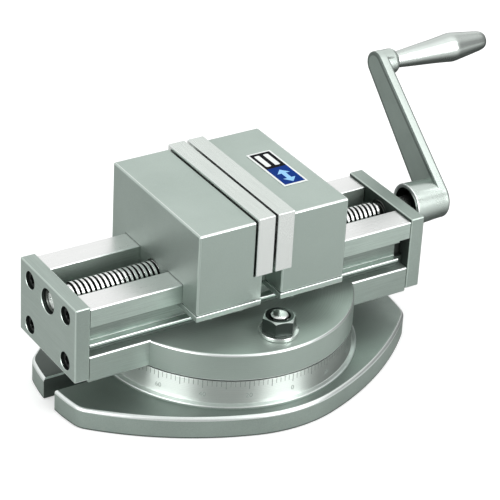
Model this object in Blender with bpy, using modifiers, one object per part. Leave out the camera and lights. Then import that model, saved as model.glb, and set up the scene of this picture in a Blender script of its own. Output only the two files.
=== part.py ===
"""Self-centring machine vise on a graduated swivel base, with a crank handle.

Frame: X runs along the lead screw (crank at +X), Y across the jaws, +Z up.
The origin is on the swivel axis, in the plane of the base's underside.
Lengths in the constants are millimetres; the model is built in metres.
"""
import math
import bpy
import bmesh
from mathutils import Matrix, Vector

# ------------------------------------------------------------------ driving dimensions (mm)
MM = 0.001
GAP = 0.3                     # working gap kept between faceted pieces

# swivel base
BASE_T = 14.0                 # foot plate thickness
BASE_END = 118.3              # half length over the round ends
BASE_SIDE = 88.0              # half width at the middle, radius of the round sides
SIDE_TURN = 17.5              # degrees of the round side each way from the middle
FLANK_R = 211.0               # radius of the long flanks running out to the lugs
LUG_R = 14.5                  # rounding of the lug corners
LUG_W = 13.5                  # hold-down slot width
LUG_X = 99.0                  # centre of the slot's closed end
FOOT_R, FOOT_T = 81.3, 2.0    # small step at the foot of the graduated ring
RING_R, RING_TOP = 78.0, 31.4
TEE_R = 60.0                  # pitch radius of the circular T-slot
TEE_NECK, TEE_WIDE = 12.8, 24.0
TEE_FLOOR, TEE_ROOF = 11.0, 21.0
PIN_R, PIN_HEAD_R = 12.0, 15.0

# bed
BED_X = 109.8                 # half length between the end plates
BED_Y = 33.4                  # half width
BED_Z0 = 31.7                 # underside
DISC_R, DISC_TOP = 78.0, 49.3
GROOVE_Y, LIP_Z0, LIP_Z1 = 27.0, 55.2, 57.5
RECESS_Y, FLANGE_Z = 28.6, 68.3
RAIL_TOP = 81.0
SLOT_Y, SLOT_Z = 16.5, 54.5   # central trough
RELIEF_X = 102.6              # run-out pocket at the crank end

# end plates
PLATE_T = 9.45
PLATE_Y, PLATE_Z0, PLATE_Z1 = 33.9, 34.4, 82.8
BOLT_Y, BOLT_ZU, BOLT_ZL = 21.7, 73.35, 43.15

# lead screw: 5/8 in x 8 tpi trapezoidal, right hand at -X, left hand at +X
SCREW_Z = 71.0
PITCH = 3.175
THREAD_R, ROOT_R = 7.94, 6.1
JOURNAL_R = 6.2
TAIL_R = 5.5                  # journal at the plain end
COLLAR_R, COLLAR_W = 10.5, 5.0
SCREW_SIDES = 8

# jaws (left one; the right one is its mirror image)
JAW_GAP = 0.9                 # half the mouth at rest
PAD_T = 11.3
JAW_BACK = 50.2
JAW_TOE = 6.6                 # front face below the jaw plate
JAW_Y = 50.0
JAW_TOP = 120.6
LEG_Z = 68.3
PAD_Y, PAD_Z0, PAD_Z1 = 51.45, 85.1, 123.0
TONGUE_Y, TONGUE_Z, TONGUE_X = 16.1, 55.2, 19.6
KEEP_Z0, KEEP_Z1, KEEP_Y = 64.3, 68.0, 29.0
NUT_R = 12.0

# crank
HUB_X0, HUB_X1 = 130.3, 156.5
HUB_R0, HUB_R1 = 13.9, 12.8
ARM_X0 = 148.7
TOP_Y, TOP_Z, TOP_R = 69.5, 133.7, 8.4
BOSS_X = 163.9
GRIP_X0, GRIP_X1 = 164.3, 233.6
SPINDLE_R = 4.0

# clamp bolts (M12)
STUD_R, STUD_TOP = 5.9, 62.6
WASHER_R, WASHER_T = 12.0, 2.5
NUT_AF, NUT_H = 18.0, 9.0

# ------------------------------------------------------------------ scene and collections
for ob in list(bpy.data.objects):
    bpy.data.objects.remove(ob, do_unlink=True)
for group in (bpy.data.meshes, bpy.data.curves, bpy.data.materials, bpy.data.collections):
    for item in list(group):
        group.remove(item)

PARTS = bpy.data.collections.new("self_centring_vise")
CUTTERS = bpy.data.collections.new("cutters")
bpy.context.scene.collection.children.link(PARTS)
bpy.context.scene.collection.children.link(CUTTERS)

# finish name: colour, roughness, metallic
FINISHES = {
    "satin_iron": ((0.46, 0.50, 0.48), 0.42, 0.85),
    "machined_steel": ((0.62, 0.65, 0.63), 0.30, 1.0),
    "ground_steel": ((0.75, 0.77, 0.75), 0.16, 1.0),
    "bright_screw": ((0.80, 0.82, 0.80), 0.14, 1.0),
    "crank_metal": ((0.58, 0.61, 0.59), 0.36, 0.9),
    "dark_zinc": ((0.12, 0.14, 0.13), 0.35, 0.9),
    "black_oxide": ((0.03, 0.03, 0.03), 0.45, 0.8),
    "bronze": ((0.60, 0.42, 0.18), 0.32, 1.0),
    "label_blue": ((0.02, 0.11, 0.42), 0.35, 0.0),
}


def material_for(name, finish):
    colour, rough, metal = FINISHES[finish]
    mat = bpy.data.materials.new(name + "_" + finish)
    mat.use_nodes = True
    bsdf = mat.node_tree.nodes["Principled BSDF"]
    bsdf.inputs["Base Color"].default_value = (*colour, 1.0)
    bsdf.inputs["Roughness"].default_value = rough
    bsdf.inputs["Metallic"].default_value = metal
    return mat


# ------------------------------------------------------------------ joint axes (empties)
def axis_empty(name, where, parent=None):
    ob = bpy.data.objects.new(name, None)
    ob.empty_display_size = 0.02
    PARTS.objects.link(ob)
    world = Vector(where) * MM
    ob.parent = parent
    ob.location = world - (Vector(parent["world"]) if parent else Vector((0, 0, 0)))
    ob["world"] = tuple(world)
    return ob


BASE_REF = axis_empty("base_reference", (0, 0, 0))
SWIVEL = axis_empty("swivel_axis", (0, 0, BED_Z0), BASE_REF)
SCREW = axis_empty("screw_axis", (0, 0, SCREW_Z), SWIVEL)
LEFT = axis_empty("left_jaw_slide", (-30, 0, RAIL_TOP), SWIVEL)
RIGHT = axis_empty("right_jaw_slide", (30, 0, RAIL_TOP), SWIVEL)
GRIP = axis_empty("grip_axis", (GRIP_X0, TOP_Y, TOP_Z), SCREW)
NUT_F = axis_empty("front_nut_axis", (0, -TEE_R, DISC_TOP), SWIVEL)
NUT_B = axis_empty("rear_nut_axis", (0, TEE_R, DISC_TOP), SWIVEL)


# ------------------------------------------------------------------ mesh helpers (millimetre input)
def mesh_object(name, bm, coll):
    bmesh.ops.scale(bm, vec=(MM, MM, MM), verts=bm.verts)
    bmesh.ops.recalc_face_normals(bm, faces=bm.faces)
    me = bpy.data.meshes.new(name)
    bm.to_mesh(me)
    bm.free()
    ob = bpy.data.objects.new(name, me)
    coll.objects.link(ob)
    return ob


def solid(name, bm):
    return mesh_object(name, bm, PARTS)


def cutter(name, bm):
    ob = mesh_object("cut_" + name, bm, CUTTERS)
    ob.hide_render = True
    ob.display_type = 'WIRE'
    return ob


def bm_box(x0, x1, y0, y1, z0, z1):
    bm = bmesh.new()
    bmesh.ops.create_cube(bm, size=1.0)
    bmesh.ops.scale(bm, vec=(x1 - x0, y1 - y0, z1 - z0), verts=bm.verts)
    bmesh.ops.translate(bm, vec=((x0 + x1) / 2, (y0 + y1) / 2, (z0 + z1) / 2), verts=bm.verts)
    return bm


def bm_rod(start, axis, length, r0, r1=None, sides=24, turn=0.0):
    """Cylinder or cone from start along axis."""
    bm = bmesh.new()
    bmesh.ops.create_cone(bm, cap_ends=True, cap_tris=False, segments=sides,
                          radius1=r0, radius2=r0 if r1 is None else r1, depth=length)
    bmesh.ops.rotate(bm, cent=(0, 0, 0), matrix=Matrix.Rotation(turn, 3, 'Z'), verts=bm.verts)
    bmesh.ops.translate(bm, vec=(0, 0, length / 2), verts=bm.verts)
    quat = Vector((0, 0, 1)).rotation_difference(Vector(axis).normalized())
    bmesh.ops.rotate(bm, cent=(0, 0, 0), matrix=quat.to_matrix(), verts=bm.verts)
    bmesh.ops.translate(bm, vec=start, verts=bm.verts)
    return bm


def bm_stack(stations, sides):
    """A faceted body of revolution about the lead screw's axis: (x, radius) stations."""
    bm = bmesh.new()
    rings = [[bm.verts.new((x, r * math.cos(2 * math.pi * (j + 0.5) / sides), SCREW_Z + r * math.sin(2 * math.pi * (j + 0.5) / sides)))
              for j in range(sides)] for x, r in stations]
    for a, b in zip(rings, rings[1:]):
        for j in range(sides):
            bm.faces.new((a[j], a[(j + 1) % sides], b[(j + 1) % sides], b[j]))
    bm.faces.new(list(reversed(rings[0])))
    bm.faces.new(rings[-1])
    bmesh.ops.recalc_face_normals(bm, faces=bm.faces)
    return bm


def bm_outline(points, depth, plane="XY", at=0.0):
    """A flat outline from a filled 2D curve, extruded to depth from the plane's coordinate `at`."""
    cu = bpy.data.curves.new("outline", 'CURVE')
    cu.dimensions = '2D'
    cu.fill_mode = 'BOTH'
    cu.extrude = depth / 2
    sp = cu.splines.new('POLY')
    sp.points.add(len(points) - 1)
    for p, (a, b) in zip(sp.points, points):
        p.co = (a, b, 0.0, 1.0)
    sp.use_cyclic_u = True
    ob = bpy.data.objects.new("outline", cu)
    bpy.context.scene.collection.objects.link(ob)
    bpy.context.view_layer.update()
    me = bpy.data.meshes.new_from_object(ob.evaluated_get(bpy.context.evaluated_depsgraph_get()))
    bm = bmesh.new()
    bm.from_mesh(me)
    bpy.data.objects.remove(ob, do_unlink=True)
    bpy.data.curves.remove(cu)
    bpy.data.meshes.remove(me)
    bmesh.ops.remove_doubles(bm, verts=bm.verts, dist=1e-4)
    bmesh.ops.dissolve_limit(bm, angle_limit=0.001, verts=bm.verts, edges=bm.edges)
    if plane == "YZ":      # curve x,y become world y,z ; depth runs along X
        m = Matrix(((0, 0, 1), (1, 0, 0), (0, 1, 0)))
        bmesh.ops.rotate(bm, cent=(0, 0, 0), matrix=m, verts=bm.verts)
        bmesh.ops.translate(bm, vec=(at + depth / 2, 0, 0), verts=bm.verts)
    elif plane == "XZ":    # curve x,y become world x,z ; depth runs along Y
        m = Matrix(((1, 0, 0), (0, 0, -1), (0, 1, 0)))
        bmesh.ops.rotate(bm, cent=(0, 0, 0), matrix=m, verts=bm.verts)
        bmesh.ops.translate(bm, vec=(0, at + depth / 2, 0), verts=bm.verts)
    else:
        bmesh.ops.translate(bm, vec=(0, 0, at + depth / 2), verts=bm.verts)
    return bm


def turned(name, profile, sides, coll=None):
    """A closed turned shape: profile is (radius, height) from top to bottom down the outer side."""
    me = bpy.data.meshes.new(name)
    ring = profile[0][0] > 0 and profile[-1][0] > 0
    n = len(profile)
    edges = [(i, i + 1) for i in range(n - 1)]
    if ring:
        edges.append((n - 1, 0))
    me.from_pydata([(r * MM, 0, z * MM) for r, z in profile], edges, [])
    ob = bpy.data.objects.new(name, me)
    (coll or PARTS).objects.link(ob)
    mod = ob.modifiers.new("turn", 'SCREW')
    mod.axis = 'Z'
    mod.angle = 2 * math.pi
    mod.steps = sides
    mod.render_steps = sides
    mod.use_merge_vertices = True
    mod.merge_threshold = 0.00001
    mod.use_smooth_shade = True
    if coll is CUTTERS:
        ob.hide_render = True
        ob.display_type = 'WIRE'
    return ob


def boolean(ob, other, how='DIFFERENCE'):
    mod = ob.modifiers.new(how.lower() + "_" + other.name, 'BOOLEAN')
    mod.operation = how
    mod.object = other
    mod.solver = 'EXACT'
    return ob


def cut(ob, *cutters):
    for c in cutters:
        boolean(ob, c)
    return ob


def join(ob, *others):
    """Union with helper solids, which stay in the cutters collection."""
    for o in others:
        boolean(ob, o, 'UNION')
    return ob


def chamfer(ob, width, angle=40.0):
    mod = ob.modifiers.new("edge_break", 'BEVEL')
    mod.width = width * MM
    mod.segments = 1
    mod.limit_method = 'ANGLE'
    mod.angle_limit = math.radians(angle)
    return ob


def place(ob, parent, origin, finish, smooth=False):
    """Give the piece its material, its own origin and its parent axis."""
    o = Vector(origin) * MM
    ob.data.transform(Matrix.Translation(-o + ob.location) @ ob.rotation_euler.to_matrix().to_4x4())
    ob.rotation_euler = (0, 0, 0)
    ob.parent = parent
    ob.location = o - Vector(parent["world"])
    ob.data.materials.clear()
    ob.data.materials.append(material_for(ob.name, finish))
    if smooth:
        ob.data.shade_smooth()
        ob.data.set_sharp_from_angle(angle=math.radians(35))
    return ob


def arc(cx, cy, r, a0, a1, n):
    return [(cx + r * math.cos(math.radians(a0 + (a1 - a0) * i / n)),
             cy + r * math.sin(math.radians(a0 + (a1 - a0) * i / n))) for i in range(n + 1)]


def cap_screw(name, head_at, axis, head_r, head_h, shank_r, shank_l, hex_af, parent,
              finish="black_oxide", sides=12):
    """Socket head cap screw: head_at is the centre of the head's outer face, axis points into the work."""
    a = Vector(axis).normalized()
    p = Vector(head_at)
    body = solid(name, bm_rod(p, a, head_h, head_r, sides=sides))
    shank = cutter(name + "_shank", bm_rod(p + a * (head_h - 1.0), a, shank_l + 1.0, shank_r, sides=8))
    socket = cutter(name + "_hex", bm_rod(p - a, a, 1.0 + head_h * 0.55,
                                          hex_af / math.sqrt(3.0), sides=6))
    join(body, shank)
    cut(body, socket)
    return place(body, parent, p, finish)


# ------------------------------------------------------------------ swivel base
def base_outline():
    """Round sides, long shallow flanks, rounded lug corners and end arcs about the axis, all tangent."""
    a = math.radians(SIDE_TURN - 90)
    fx, fy = (BASE_SIDE - FLANK_R) * math.cos(a), (BASE_SIDE - FLANK_R) * math.sin(a)     # centre of the flank
    d, p, q = math.hypot(fx, fy), FLANK_R - LUG_R, BASE_END - LUG_R
    along = (q * q - p * p + d * d) / (2 * d)
    off = math.sqrt(q * q - along * along)
    kx, ky = (fx * along + fy * off) / d, (fy * along - fx * off) / d                     # centre of the lug corner
    b, c = math.degrees(math.atan2(ky - fy, kx - fx)), math.degrees(math.atan2(ky, kx))
    quarter = (arc(0, 0, BASE_SIDE, -90, SIDE_TURN - 90, 3) + arc(fx, fy, FLANK_R, SIDE_TURN - 90, b, 4)[1:] +
               arc(kx, ky, LUG_R, b, c, 5)[1:] + arc(0, 0, BASE_END, c, 0, 3)[1:])
    q2 = [(x, -y) for x, y in reversed(quarter[:-1])]
    right = quarter + q2                            # lower middle -> right end -> upper middle
    left = [(-x, y) for x, y in reversed(right)]
    return right + left[1:-1]


base = solid("swivel_base", bm_outline(base_outline(), BASE_T, "XY", 0.0))
ring_cut = turned("cut_base_ring", [(0.0, RING_TOP), (RING_R - 0.6, RING_TOP), (RING_R, RING_TOP - 0.6),
                                    (RING_R, BASE_T + FOOT_T), (FOOT_R, BASE_T + FOOT_T - 0.2),
                                    (FOOT_R, BASE_T - 3.0), (0.0, BASE_T - 3.0)], 56, CUTTERS)
join(base, ring_cut)
tee_neck = turned("cut_tee_neck", [(TEE_R - TEE_NECK / 2, RING_TOP + 2), (TEE_R + TEE_NECK / 2, RING_TOP + 2),
                                   (TEE_R + TEE_NECK / 2, TEE_ROOF), (TEE_R + TEE_WIDE / 2, TEE_ROOF),
                                   (TEE_R + TEE_WIDE / 2, TEE_FLOOR), (TEE_R - TEE_WIDE / 2, TEE_FLOOR),
                                   (TEE_R - TEE_WIDE / 2, TEE_ROOF), (TEE_R - TEE_NECK / 2, TEE_ROOF)],
                  40, CUTTERS)
entry = cutter("tee_entry", bm_rod((TEE_R * math.cos(math.radians(40)), TEE_R * math.sin(math.radians(40)),
                                    TEE_ROOF - 4), (0, 0, 1), RING_TOP - TEE_ROOF + 6, 14.2, sides=20))
pin_bore = cutter("pin_bore", bm_rod((0, 0, 8.0), (0, 0, 1), 30, PIN_R + 0.4, sides=32))
cut(base, tee_neck, entry, pin_bore)
for s, side in ((-1, "left"), (1, "right")):
    slot = arc(s * LUG_X, 0, LUG_W / 2, 90 if s > 0 else -90, 270 if s > 0 else 90, 10)
    slot += [(s * (BASE_END + 6), slot[-1][1]), (s * (BASE_END + 6), slot[0][1])]
    cut(base, cutter("lug_" + side, bm_outline(slot, BASE_T + 6, "XY", -3.0)))
place(base, BASE_REF, (0, 0, 0), "satin_iron")

pin = turned("swivel_pivot_pin", [(0.0, 43.6), (PIN_HEAD_R - 0.8, 43.6), (PIN_HEAD_R, 42.8),
                                  (PIN_HEAD_R, 31.7), (PIN_R, 31.7), (PIN_R, 8.3), (0.0, 8.3)], 24)
place(pin, BASE_REF, (0, 0, 0), "machined_steel")

# ------------------------------------------------------------------ bed
half = [(BED_Y - 1.2, BED_Z0), (BED_Y, BED_Z0 + 1.2), (BED_Y, DISC_TOP), (GROOVE_Y, DISC_TOP),
        (GROOVE_Y, LIP_Z0), (BED_Y, LIP_Z0), (BED_Y, LIP_Z1), (RECESS_Y, LIP_Z1), (RECESS_Y, FLANGE_Z),
        (BED_Y, FLANGE_Z), (BED_Y, RAIL_TOP), (SLOT_Y, RAIL_TOP), (SLOT_Y, SLOT_Z)]
section = half + [(-y, z) for y, z in reversed(half)]
bed = solid("vise_bed", bm_outline(section, 2 * BED_X, "YZ", -BED_X))
disc = turned("cut_bed_disc", [(0.0, DISC_TOP), (DISC_R - 1.0, DISC_TOP), (DISC_R, DISC_TOP - 1.0),
                               (DISC_R, BED_Z0), (0.0, BED_Z0)], 56, CUTTERS)
# the disc is a ring around the trough section, so its middle stays below the trough floor
join(bed, disc)
bed_bore = cutter("bed_bore", bm_rod((0, 0, BED_Z0 - 2), (0, 0, 1), 14.0, PIN_HEAD_R + 0.4, sides=32))
cut(bed, bed_bore)
for s, side in ((-1, "front"), (1, "rear")):
    cut(bed, cutter("stud_hole_" + side, bm_rod((0, s * TEE_R, BED_Z0 - 2), (0, 0, 1), 24, 6.6, sides=20)))
    y0, y1 = sorted((s * 24.0, s * 40.0))
    cut(bed, cutter("relief_" + side, bm_box(RELIEF_X, BED_X + 4, y0, y1, LIP_Z0 - 0.01, FLANGE_Z + 1.6)))
    for e, end in ((-1, "left"), (1, "right")):
        for z, lvl in ((BOLT_ZU, "upper"), (BOLT_ZL, "lower")):
            x0 = e * (BED_X - 15)
            cut(bed, cutter("tap_%s_%s_%s" % (end, side, lvl),
                            bm_rod((x0, s * BOLT_Y, z), (e, 0, 0), 18, 3.4, sides=10)))
for i, s in enumerate((1, -1)):
    cut(bed, cutter("block_tap_%d" % (i + 1), bm_rod((s * 7.6, s * 12.0, 44.0), (0, 0, 1), 14, 2.4, sides=10)))
place(bed, SWIVEL, (0, 0, BED_Z0), "satin_iron")

# ------------------------------------------------------------------ end plates, bushes and their screws
for e, end in ((-1, "left"), (1, "right")):
    x_in, x_out = e * (BED_X + GAP), e * (BED_X + GAP + PLATE_T)
    x0, x1 = sorted((x_in, x_out))
    plate = solid(end + "_end_plate", bm_box(x0, x1, -PLATE_Y, PLATE_Y, PLATE_Z0, PLATE_Z1))
    chamfer(plate, 0.7)
    shaft_r = TAIL_R if e < 0 else JOURNAL_R
    cut(plate, cutter(end + "_bush_hole", bm_rod((x_in - e * 2, 0, SCREW_Z), (e, 0, 0), PLATE_T + 4, shaft_r + 2.25, sides=24)))
    n = 0
    for z in (BOLT_ZU, BOLT_ZL):
        for s in (-1, 1):
            n += 1
            cut(plate,
                cutter("%s_thru_%d" % (end, n), bm_rod((x_in - e * 2, s * BOLT_Y, z), (e, 0, 0), PLATE_T + 4, 3.4, sides=10)),
                cutter("%s_cbore_%d" % (end, n), bm_rod((x_out - e * 7.2, s * BOLT_Y, z), (e, 0, 0), 9.2, 5.6, sides=14)))
            cap_screw("%s_end_plate_screw_%d" % (end, n), (x_out - e * 1.6, s * BOLT_Y, z), (-e, 0, 0),
                      4.95, 5.3, 2.95, 14.0, 5.0, SWIVEL)
    place(plate, SWIVEL, (x_in, 0, SCREW_Z), "machined_steel")
    bush = turned(end + "_end_bush", [(shaft_r + 0.45, 7.0), (shaft_r + 1.95, 7.0), (shaft_r + 1.95, 0.0), (shaft_r + 0.45, 0.0)], 24)
    bush.rotation_euler = (0, math.radians(90), 0)
    bush.location = Vector((x_in if e > 0 else x_in - 7.0, 0, SCREW_Z)) * MM
    # the turned profile stays in the bush's own axes: parent it without baking the rotation
    world = bush.location.copy()
    bush.parent = SWIVEL
    bush.location = world - Vector(SWIVEL["world"])
    bush.data.materials.append(material_for(bush.name, "bronze"))

# ------------------------------------------------------------------ split bearing block for the screw's collar
BB_X, BB_Y = 11.0, 16.1
bore = cutter("block_bore", bm_rod((-BB_X - 2, 0, SCREW_Z), (1, 0, 0), 2 * BB_X + 4, 7.5, sides=24))
groove = cutter("block_groove", bm_rod((-COLLAR_W / 2 - GAP, 0, SCREW_Z), (1, 0, 0), COLLAR_W + 2 * GAP, 11.0, sides=24))
for name, z0, z1, fin in (("bearing_block_lower", SLOT_Z + GAP, SCREW_Z - 0.15, "machined_steel"),
                          ("bearing_block_cap", SCREW_Z + 0.15, 79.6, "machined_steel")):
    blk = solid(name, bm_box(-BB_X, BB_X, -BB_Y, BB_Y, z0, z1))
    chamfer(blk, 0.5)
    cut(blk, bore, groove)
    for i, s in enumerate((1, -1)):
        cut(blk, cutter("%s_thru_%d" % (name, i + 1),
                        bm_rod((s * 7.6, s * 12.0, 50), (0, 0, 1), 34, 2.5, sides=10)))
        if name.endswith("cap"):
            cut(blk, cutter("cap_cbore_%d" % (i + 1), bm_rod((s * 7.6, s * 12.0, 76.0), (0, 0, 1), 6, 3.9, sides=14)))
            cap_screw("bearing_cap_screw_%d" % (i + 1), (s * 7.6, s * 12.0, 79.9), (0, 0, -1),
                      3.5, 3.6, 2.0, 28.0, 3.0, SWIVEL, sides=12)
    place(blk, SWIVEL, (0, 0, SCREW_Z), fin)


# ------------------------------------------------------------------ lead screw
def lead_screw_mesh():
    """One turned and threaded body: rings of SCREW_SIDES points joined along X.

    Each threaded stretch is a helical sheet whose first and last turn lie on the root
    cylinder, so that it meets the plain rings on either side in flat facets.
    """
    n = SCREW_SIDES
    prof = [(0.0, ROOT_R), (0.30 * PITCH, ROOT_R), (0.45 * PITCH, THREAD_R), (0.85 * PITCH, THREAD_R)]
    k = len(prof)
    bm = bmesh.new()

    def ring(x, r):
        return [bm.verts.new((x, r * math.cos(2 * math.pi * j / n), SCREW_Z + r * math.sin(2 * math.pi * j / n)))
                for j in range(n)]

    def bridge(a, b):
        for j in range(n):
            bm.faces.new((a[j], a[(j + 1) % n], b[(j + 1) % n], b[j]))

    def thread(x0, x1, before, hand):
        """Helix from x0 to x1; hand = 1 makes x grow with the angle, -1 against it."""
        turns = int((x1 - x0) / PITCH) - 1
        m = k * turns
        order = list(range(n)) if hand > 0 else [0] + list(range(n - 1, 0, -1))
        cols = []
        for c, j in enumerate(order):
            ang = 2 * math.pi * j / n
            col = []
            for i in range(m + 1):
                off, r = prof[i % k]
                if i <= k or i >= m - k:
                    r = ROOT_R
                x = x0 + (i // k) * PITCH + off + PITCH * c / n
                col.append(bm.verts.new((x, r * math.cos(ang), SCREW_Z + r * math.sin(ang))))
            cols.append(col)
        first = [before[j] for j in order]
        xe = x0 + (turns + 1) * PITCH + 0.4
        after = ring(xe, ROOT_R)
        last = [after[j] for j in order]
        for c in range(n - 1):
            a, b = cols[c], cols[c + 1]
            bm.faces.new((first[c], first[c + 1], b[0], a[0]))
            for i in range(m):
                bm.faces.new((a[i], b[i], b[i + 1], a[i + 1]))
            bm.faces.new((a[m], b[m], last[c + 1], last[c]))
        a, b = cols[n - 1], cols[0]
        bm.faces.new([first[n - 1], first[0]] + [b[i] for i in range(k + 1)] + [a[0]])
        for i in range(m - k):
            bm.faces.new((a[i], b[i + k], b[i + k + 1], a[i + 1]))
        bm.faces.new([b[m], last[0], last[n - 1]] + [a[i] for i in range(m, m - k - 1, -1)])
        return after, xe

    x_end = -(BED_X + GAP + PLATE_T) + 2.4
    tip = ring(x_end, TAIL_R - 0.8)
    bm.faces.new(tip)
    cur = ring(x_end + 0.8, TAIL_R)
    bridge(tip, cur)
    for x, r in ((-BED_X + 0.2, TAIL_R), (-BED_X + 0.2, ROOT_R - 0.2), (-BED_X + 0.4, ROOT_R)):
        nxt = ring(x, r)
        bridge(cur, nxt)
        cur = nxt
    cur, xe = thread(-BED_X + 0.6, -12.6, cur, 1)
    for x, r in ((-11.6, 7.0), (-COLLAR_W / 2, 7.0), (-COLLAR_W / 2, COLLAR_R), (COLLAR_W / 2, COLLAR_R),
                 (COLLAR_W / 2, 7.0), (11.6, 7.0), (12.0, ROOT_R)):
        nxt = ring(x, r)
        bridge(cur, nxt)
        cur = nxt
    cur, xe = thread(12.6, BED_X - 0.6, cur, -1)
    for x, r in ((BED_X - 0.15, ROOT_R - 0.2), (BED_X - 0.15, JOURNAL_R), (150.2, JOURNAL_R), (151.0, JOURNAL_R - 0.8)):
        nxt = ring(x, r)
        bridge(cur, nxt)
        cur = nxt
    bm.faces.new(cur)
    return bm


screw = solid("lead_screw", lead_screw_mesh())
place(screw, SCREW, (0, 0, SCREW_Z), "bright_screw")

# ------------------------------------------------------------------ crank
arm_len = math.hypot(TOP_Y, TOP_Z - SCREW_Z)
arm_dir = math.degrees(math.atan2(TOP_Z - SCREW_Z, TOP_Y))
lean = math.degrees(math.asin((HUB_R1 - TOP_R) / arm_len))
arm_pts = arc(TOP_Y, TOP_Z, TOP_R, arm_dir - 90 + lean, arm_dir + 90 - lean, 10)
arm_pts += arc(0, SCREW_Z, HUB_R1, arm_dir + 90 - lean, arm_dir + 270 + lean, 14)
crank = solid("crank_arm", bm_outline(arm_pts, HUB_X1 - 0.6 - ARM_X0, "YZ", ARM_X0))
chamfer(crank, 1.4, 60)
hub = cutter("hub", bm_rod((HUB_X0, 0, SCREW_Z), (1, 0, 0), HUB_X1 - HUB_X0 - 1.6, HUB_R0, HUB_R1 - 0.2, sides=24))
hub_end = cutter("hub_end", bm_rod((HUB_X1 - 2.0, 0, SCREW_Z), (1, 0, 0), 2.0, HUB_R1 - 0.9, HUB_R1 - 3.0, sides=24))
boss = cutter("boss", bm_rod((ARM_X0 + 1.5, TOP_Y, TOP_Z), (1, 0, 0), BOSS_X - ARM_X0 - 3.4, 8.0, 7.9, sides=20))
boss_end = cutter("boss_end", bm_rod((BOSS_X - 2.1, TOP_Y, TOP_Z), (1, 0, 0), 2.1, 7.7, 6.0, sides=20))
# hollow sweep from the hub up to the inner face of the arm, kept inside the arm's outline
bound_pts = arc(TOP_Y, TOP_Z, TOP_R - 0.35, arm_dir - 90 + lean, arm_dir + 90 - lean, 6)
bound_pts += arc(0, SCREW_Z, HUB_R1 - 0.35, arm_dir + 90 - lean, arm_dir + 270 + lean, 12)
sweep = cutter("hub_sweep", bm_stack([(139.5, 10.8), (141.6, 13.0), (145.0, 14.5), (147.2, 16.6), (149.3, 20.4)], 30))
boolean(sweep, cutter("hub_sweep_bound", bm_outline(bound_pts, 14.0, "YZ", 138.0)), 'INTERSECT')
join(crank, sweep)
join(crank, hub)
join(crank, hub_end)
join(crank, boss)
join(crank, boss_end)
cut(crank,
    cutter("hub_mouth", bm_rod((HUB_X0 - 2, 0, SCREW_Z), (1, 0, 0), 13, 11.3, sides=24)),
    cutter("hub_bore", bm_rod((HUB_X0 - 2, 0, SCREW_Z), (1, 0, 0), 23.4, 6.7, sides=24)),
    cutter("spindle_bore", bm_rod((151.8, TOP_Y, TOP_Z), (1, 0, 0), 20, SPINDLE_R + 0.3, sides=16)))
set_dir = Vector((0, math.cos(math.radians(-48)), math.sin(math.radians(-48))))
hub_mid = Vector((145.2, 0, SCREW_Z))
cut(crank, cutter("set_bore", bm_rod(hub_mid + set_dir * 5.0, set_dir, 12, 3.1, sides=12)))
place(crank, SCREW, (0, 0, SCREW_Z), "crank_metal")

setscrew = solid("crank_set_screw", bm_rod(hub_mid + set_dir * 12.9, -set_dir, 6.2, 2.75, sides=12))
cut(setscrew, cutter("set_hex", bm_rod(hub_mid + set_dir * 13.9, -set_dir, 4.0, 1.5, sides=6)))
place(setscrew, SCREW, hub_mid + set_dir * 7, "black_oxide")

spindle = solid("grip_spindle", bm_rod((152.2, TOP_Y, TOP_Z), (1, 0, 0), GRIP_X1 - 152.2, SPINDLE_R, sides=16))
join(spindle, cutter("spindle_end", bm_rod((GRIP_X1 - 0.5, TOP_Y, TOP_Z), (1, 0, 0), 1.8, SPINDLE_R - 0.2, 2.2, sides=16)))
place(spindle, SCREW, (152.2, TOP_Y, TOP_Z), "machined_steel")

# grip: a long taper up to the palm swell, then a short taper to the rounded end
grip_prof = [(4.4, GRIP_X1), (5.0, GRIP_X1), (5.7, GRIP_X1 - 1.2), (6.5, GRIP_X1 - 4.0), (8.9, GRIP_X1 - 21.0),
             (9.4, GRIP_X1 - 25.5), (9.2, GRIP_X1 - 29.0), (7.6, GRIP_X1 - 47.0), (5.6, GRIP_X0 + 2.0),
             (5.2, GRIP_X0), (4.4, GRIP_X0)]
grip = turned("crank_grip", [(r, x - GRIP_X0) for r, x in grip_prof], 24)
grip.rotation_euler = (0, math.radians(90), 0)
grip.parent = GRIP
grip.data.materials.append(material_for("crank_grip", "crank_metal"))

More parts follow.
